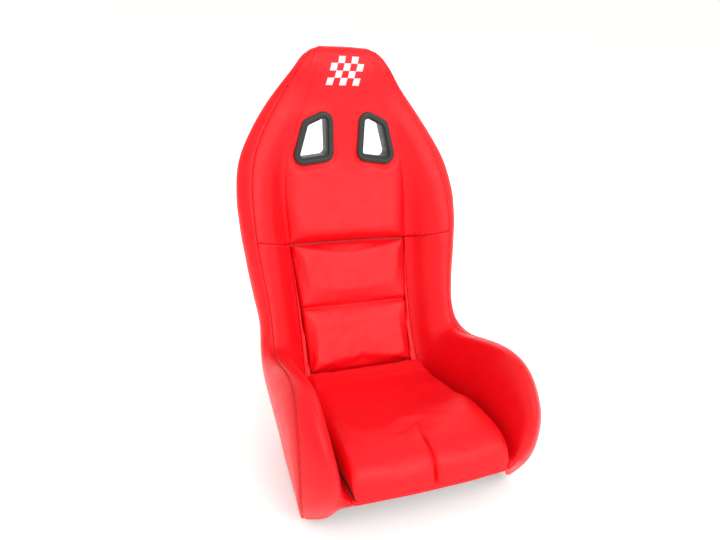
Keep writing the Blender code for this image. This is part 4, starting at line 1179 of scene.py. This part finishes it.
# ---------------------------------------------------------------- emblem
def build_emblem():
    """A plain embroidered chequer that leans forward, in satin stitch."""
    columns = 5
    rows = 4
    size = 0.0165
    lean = 0.30
    cell = 7
    vertices = []
    faces = []
    crease_x = [CONTOUR["head"][CREASE][0], CONTOUR["top"][CREASE][0]]
    station_length = 0.0615
    for row in range(rows):
        for column in range(columns):
            if (row + column) % 2:
                continue
            first = len(vertices)
            a, b = np.meshgrid(np.linspace(0, 1, cell), np.linspace(0, 1, cell))
            high = (row + b) * size - rows * size / 2
            x = (column + a - columns / 2) * size + lean * high
            t = STATION["head"] + 0.5 + high / station_length
            s = x / np.interp(t, [STATION["head"], STATION["top"]], crease_x)
            round_over = 1 - np.maximum(np.abs(2 * a - 1), np.abs(2 * b - 1)) ** 4
            lift = back_bulge(s, t) + slack_waves(SKIN.at(s, t)) + 0.0001 + 0.0015 * round_over
            top = SKIN.at(s, t, lift)
            floor = SKIN.at(s, t, back_bulge(s, t) - 0.0012)
            points, quads = closed_grid(top, floor)
            vertices.extend(points)
            faces.extend(tuple(first + v for v in quad) for quad in quads)
    piece = add_piece("emblem_chequer", vertices, faces, LOOKS["embroidery"], "embroidery", "seat", 60)
    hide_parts("headrest_emblem")


# ---------------------------------------------------------------- studio
def add_light(name, place, target, size, power):
    light = bpy.data.lights.new(name, "AREA")
    light.shape = "DISK"
    light.size = size
    light.energy = power
    lamp = bpy.data.objects.new(name, light)
    bpy.context.scene.collection.objects.link(lamp)
    lamp.location = place
    lamp.rotation_euler = (Vector(target) - Vector(place)).to_track_quat("-Z", "Y").to_euler()


def add_sun(azimuth, elevation, strength, angle):
    light = bpy.data.lights.new("sun", "SUN")
    light.energy = strength
    light.angle = math.radians(angle)
    lamp = bpy.data.objects.new("sun", light)
    bpy.context.scene.collection.objects.link(lamp)
    a = math.radians(azimuth)
    e = math.radians(elevation)
    towards = Vector((math.sin(a) * math.cos(e), -math.cos(a) * math.cos(e), math.sin(e)))
    lamp.rotation_euler = towards.to_track_quat("Z", "Y").to_euler()


def build_studio():
    scene = bpy.context.scene
    half = 40.0
    mesh = bpy.data.meshes.new("floor")
    mesh.from_pydata([(-half, -half, -0.0005), (half, -half, -0.0005), (half, half, -0.0005),
                      (-half, half, -0.0005)], [], [(0, 1, 2, 3)])
    mesh.materials.append(studio_floor())
    floor = bpy.data.objects.new("floor", mesh)
    scene.collection.objects.link(floor)
    world = bpy.data.worlds.new("studio")
    world.use_nodes = True
    world.node_tree.nodes["Background"].inputs["Color"].default_value = (1.0, 1.0, 0.985, 1.0)
    world.node_tree.nodes["Background"].inputs["Strength"].default_value = 1.0
    scene.world = world
    add_sun(20, 40, 1.4, 55)
    add_light("back", (0.6, 2.6, 1.9), (0.0, 0.1, 0.45), 2.0, 12)
    scene.view_settings.view_transform = "Standard"
    scene.view_settings.look = "None"


def build_camera():
    """The photograph's viewpoint: turned, looking down, and slightly rolled."""
    azimuth = math.radians(-22.82)
    elevation = math.radians(22.51)
    roll = math.radians(4.28)
    backward = Vector((math.sin(azimuth) * math.cos(elevation),
                       -math.cos(azimuth) * math.cos(elevation), math.sin(elevation)))
    level = Vector((math.cos(azimuth), math.sin(azimuth), 0.0))
    upright = level.cross(-backward)
    right = level * math.cos(roll) + upright * math.sin(roll)
    up = upright * math.cos(roll) - level * math.sin(roll)
    lens = bpy.data.cameras.new("camera")
    lens.sensor_width = 36.0
    lens.lens = 30.5
    camera = bpy.data.objects.new("camera", lens)
    bpy.context.scene.collection.objects.link(camera)
    camera.matrix_world = Matrix.Translation((-0.526, -1.1404, 0.920)) @ Matrix(
        (right, up, backward)).transposed().to_4x4()
    bpy.context.scene.camera = camera


build_studio()
build_camera()
build_covers()
build_tub()
build_hem_trim()
build_rails()
for SIDE_NAME, SIDE in (("right", -1), ("left", 1)):
    build_slot_bezels(SIDE_NAME, SIDE)
build_lumbar_pad()
build_seat_cushion()
build_stitching()
build_emblem()
for NODE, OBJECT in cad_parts.items():
    if NODE.startswith("insert_"):
        OBJECT.data.materials.clear()
        OBJECT.data.materials.append(LOOKS["insert"])
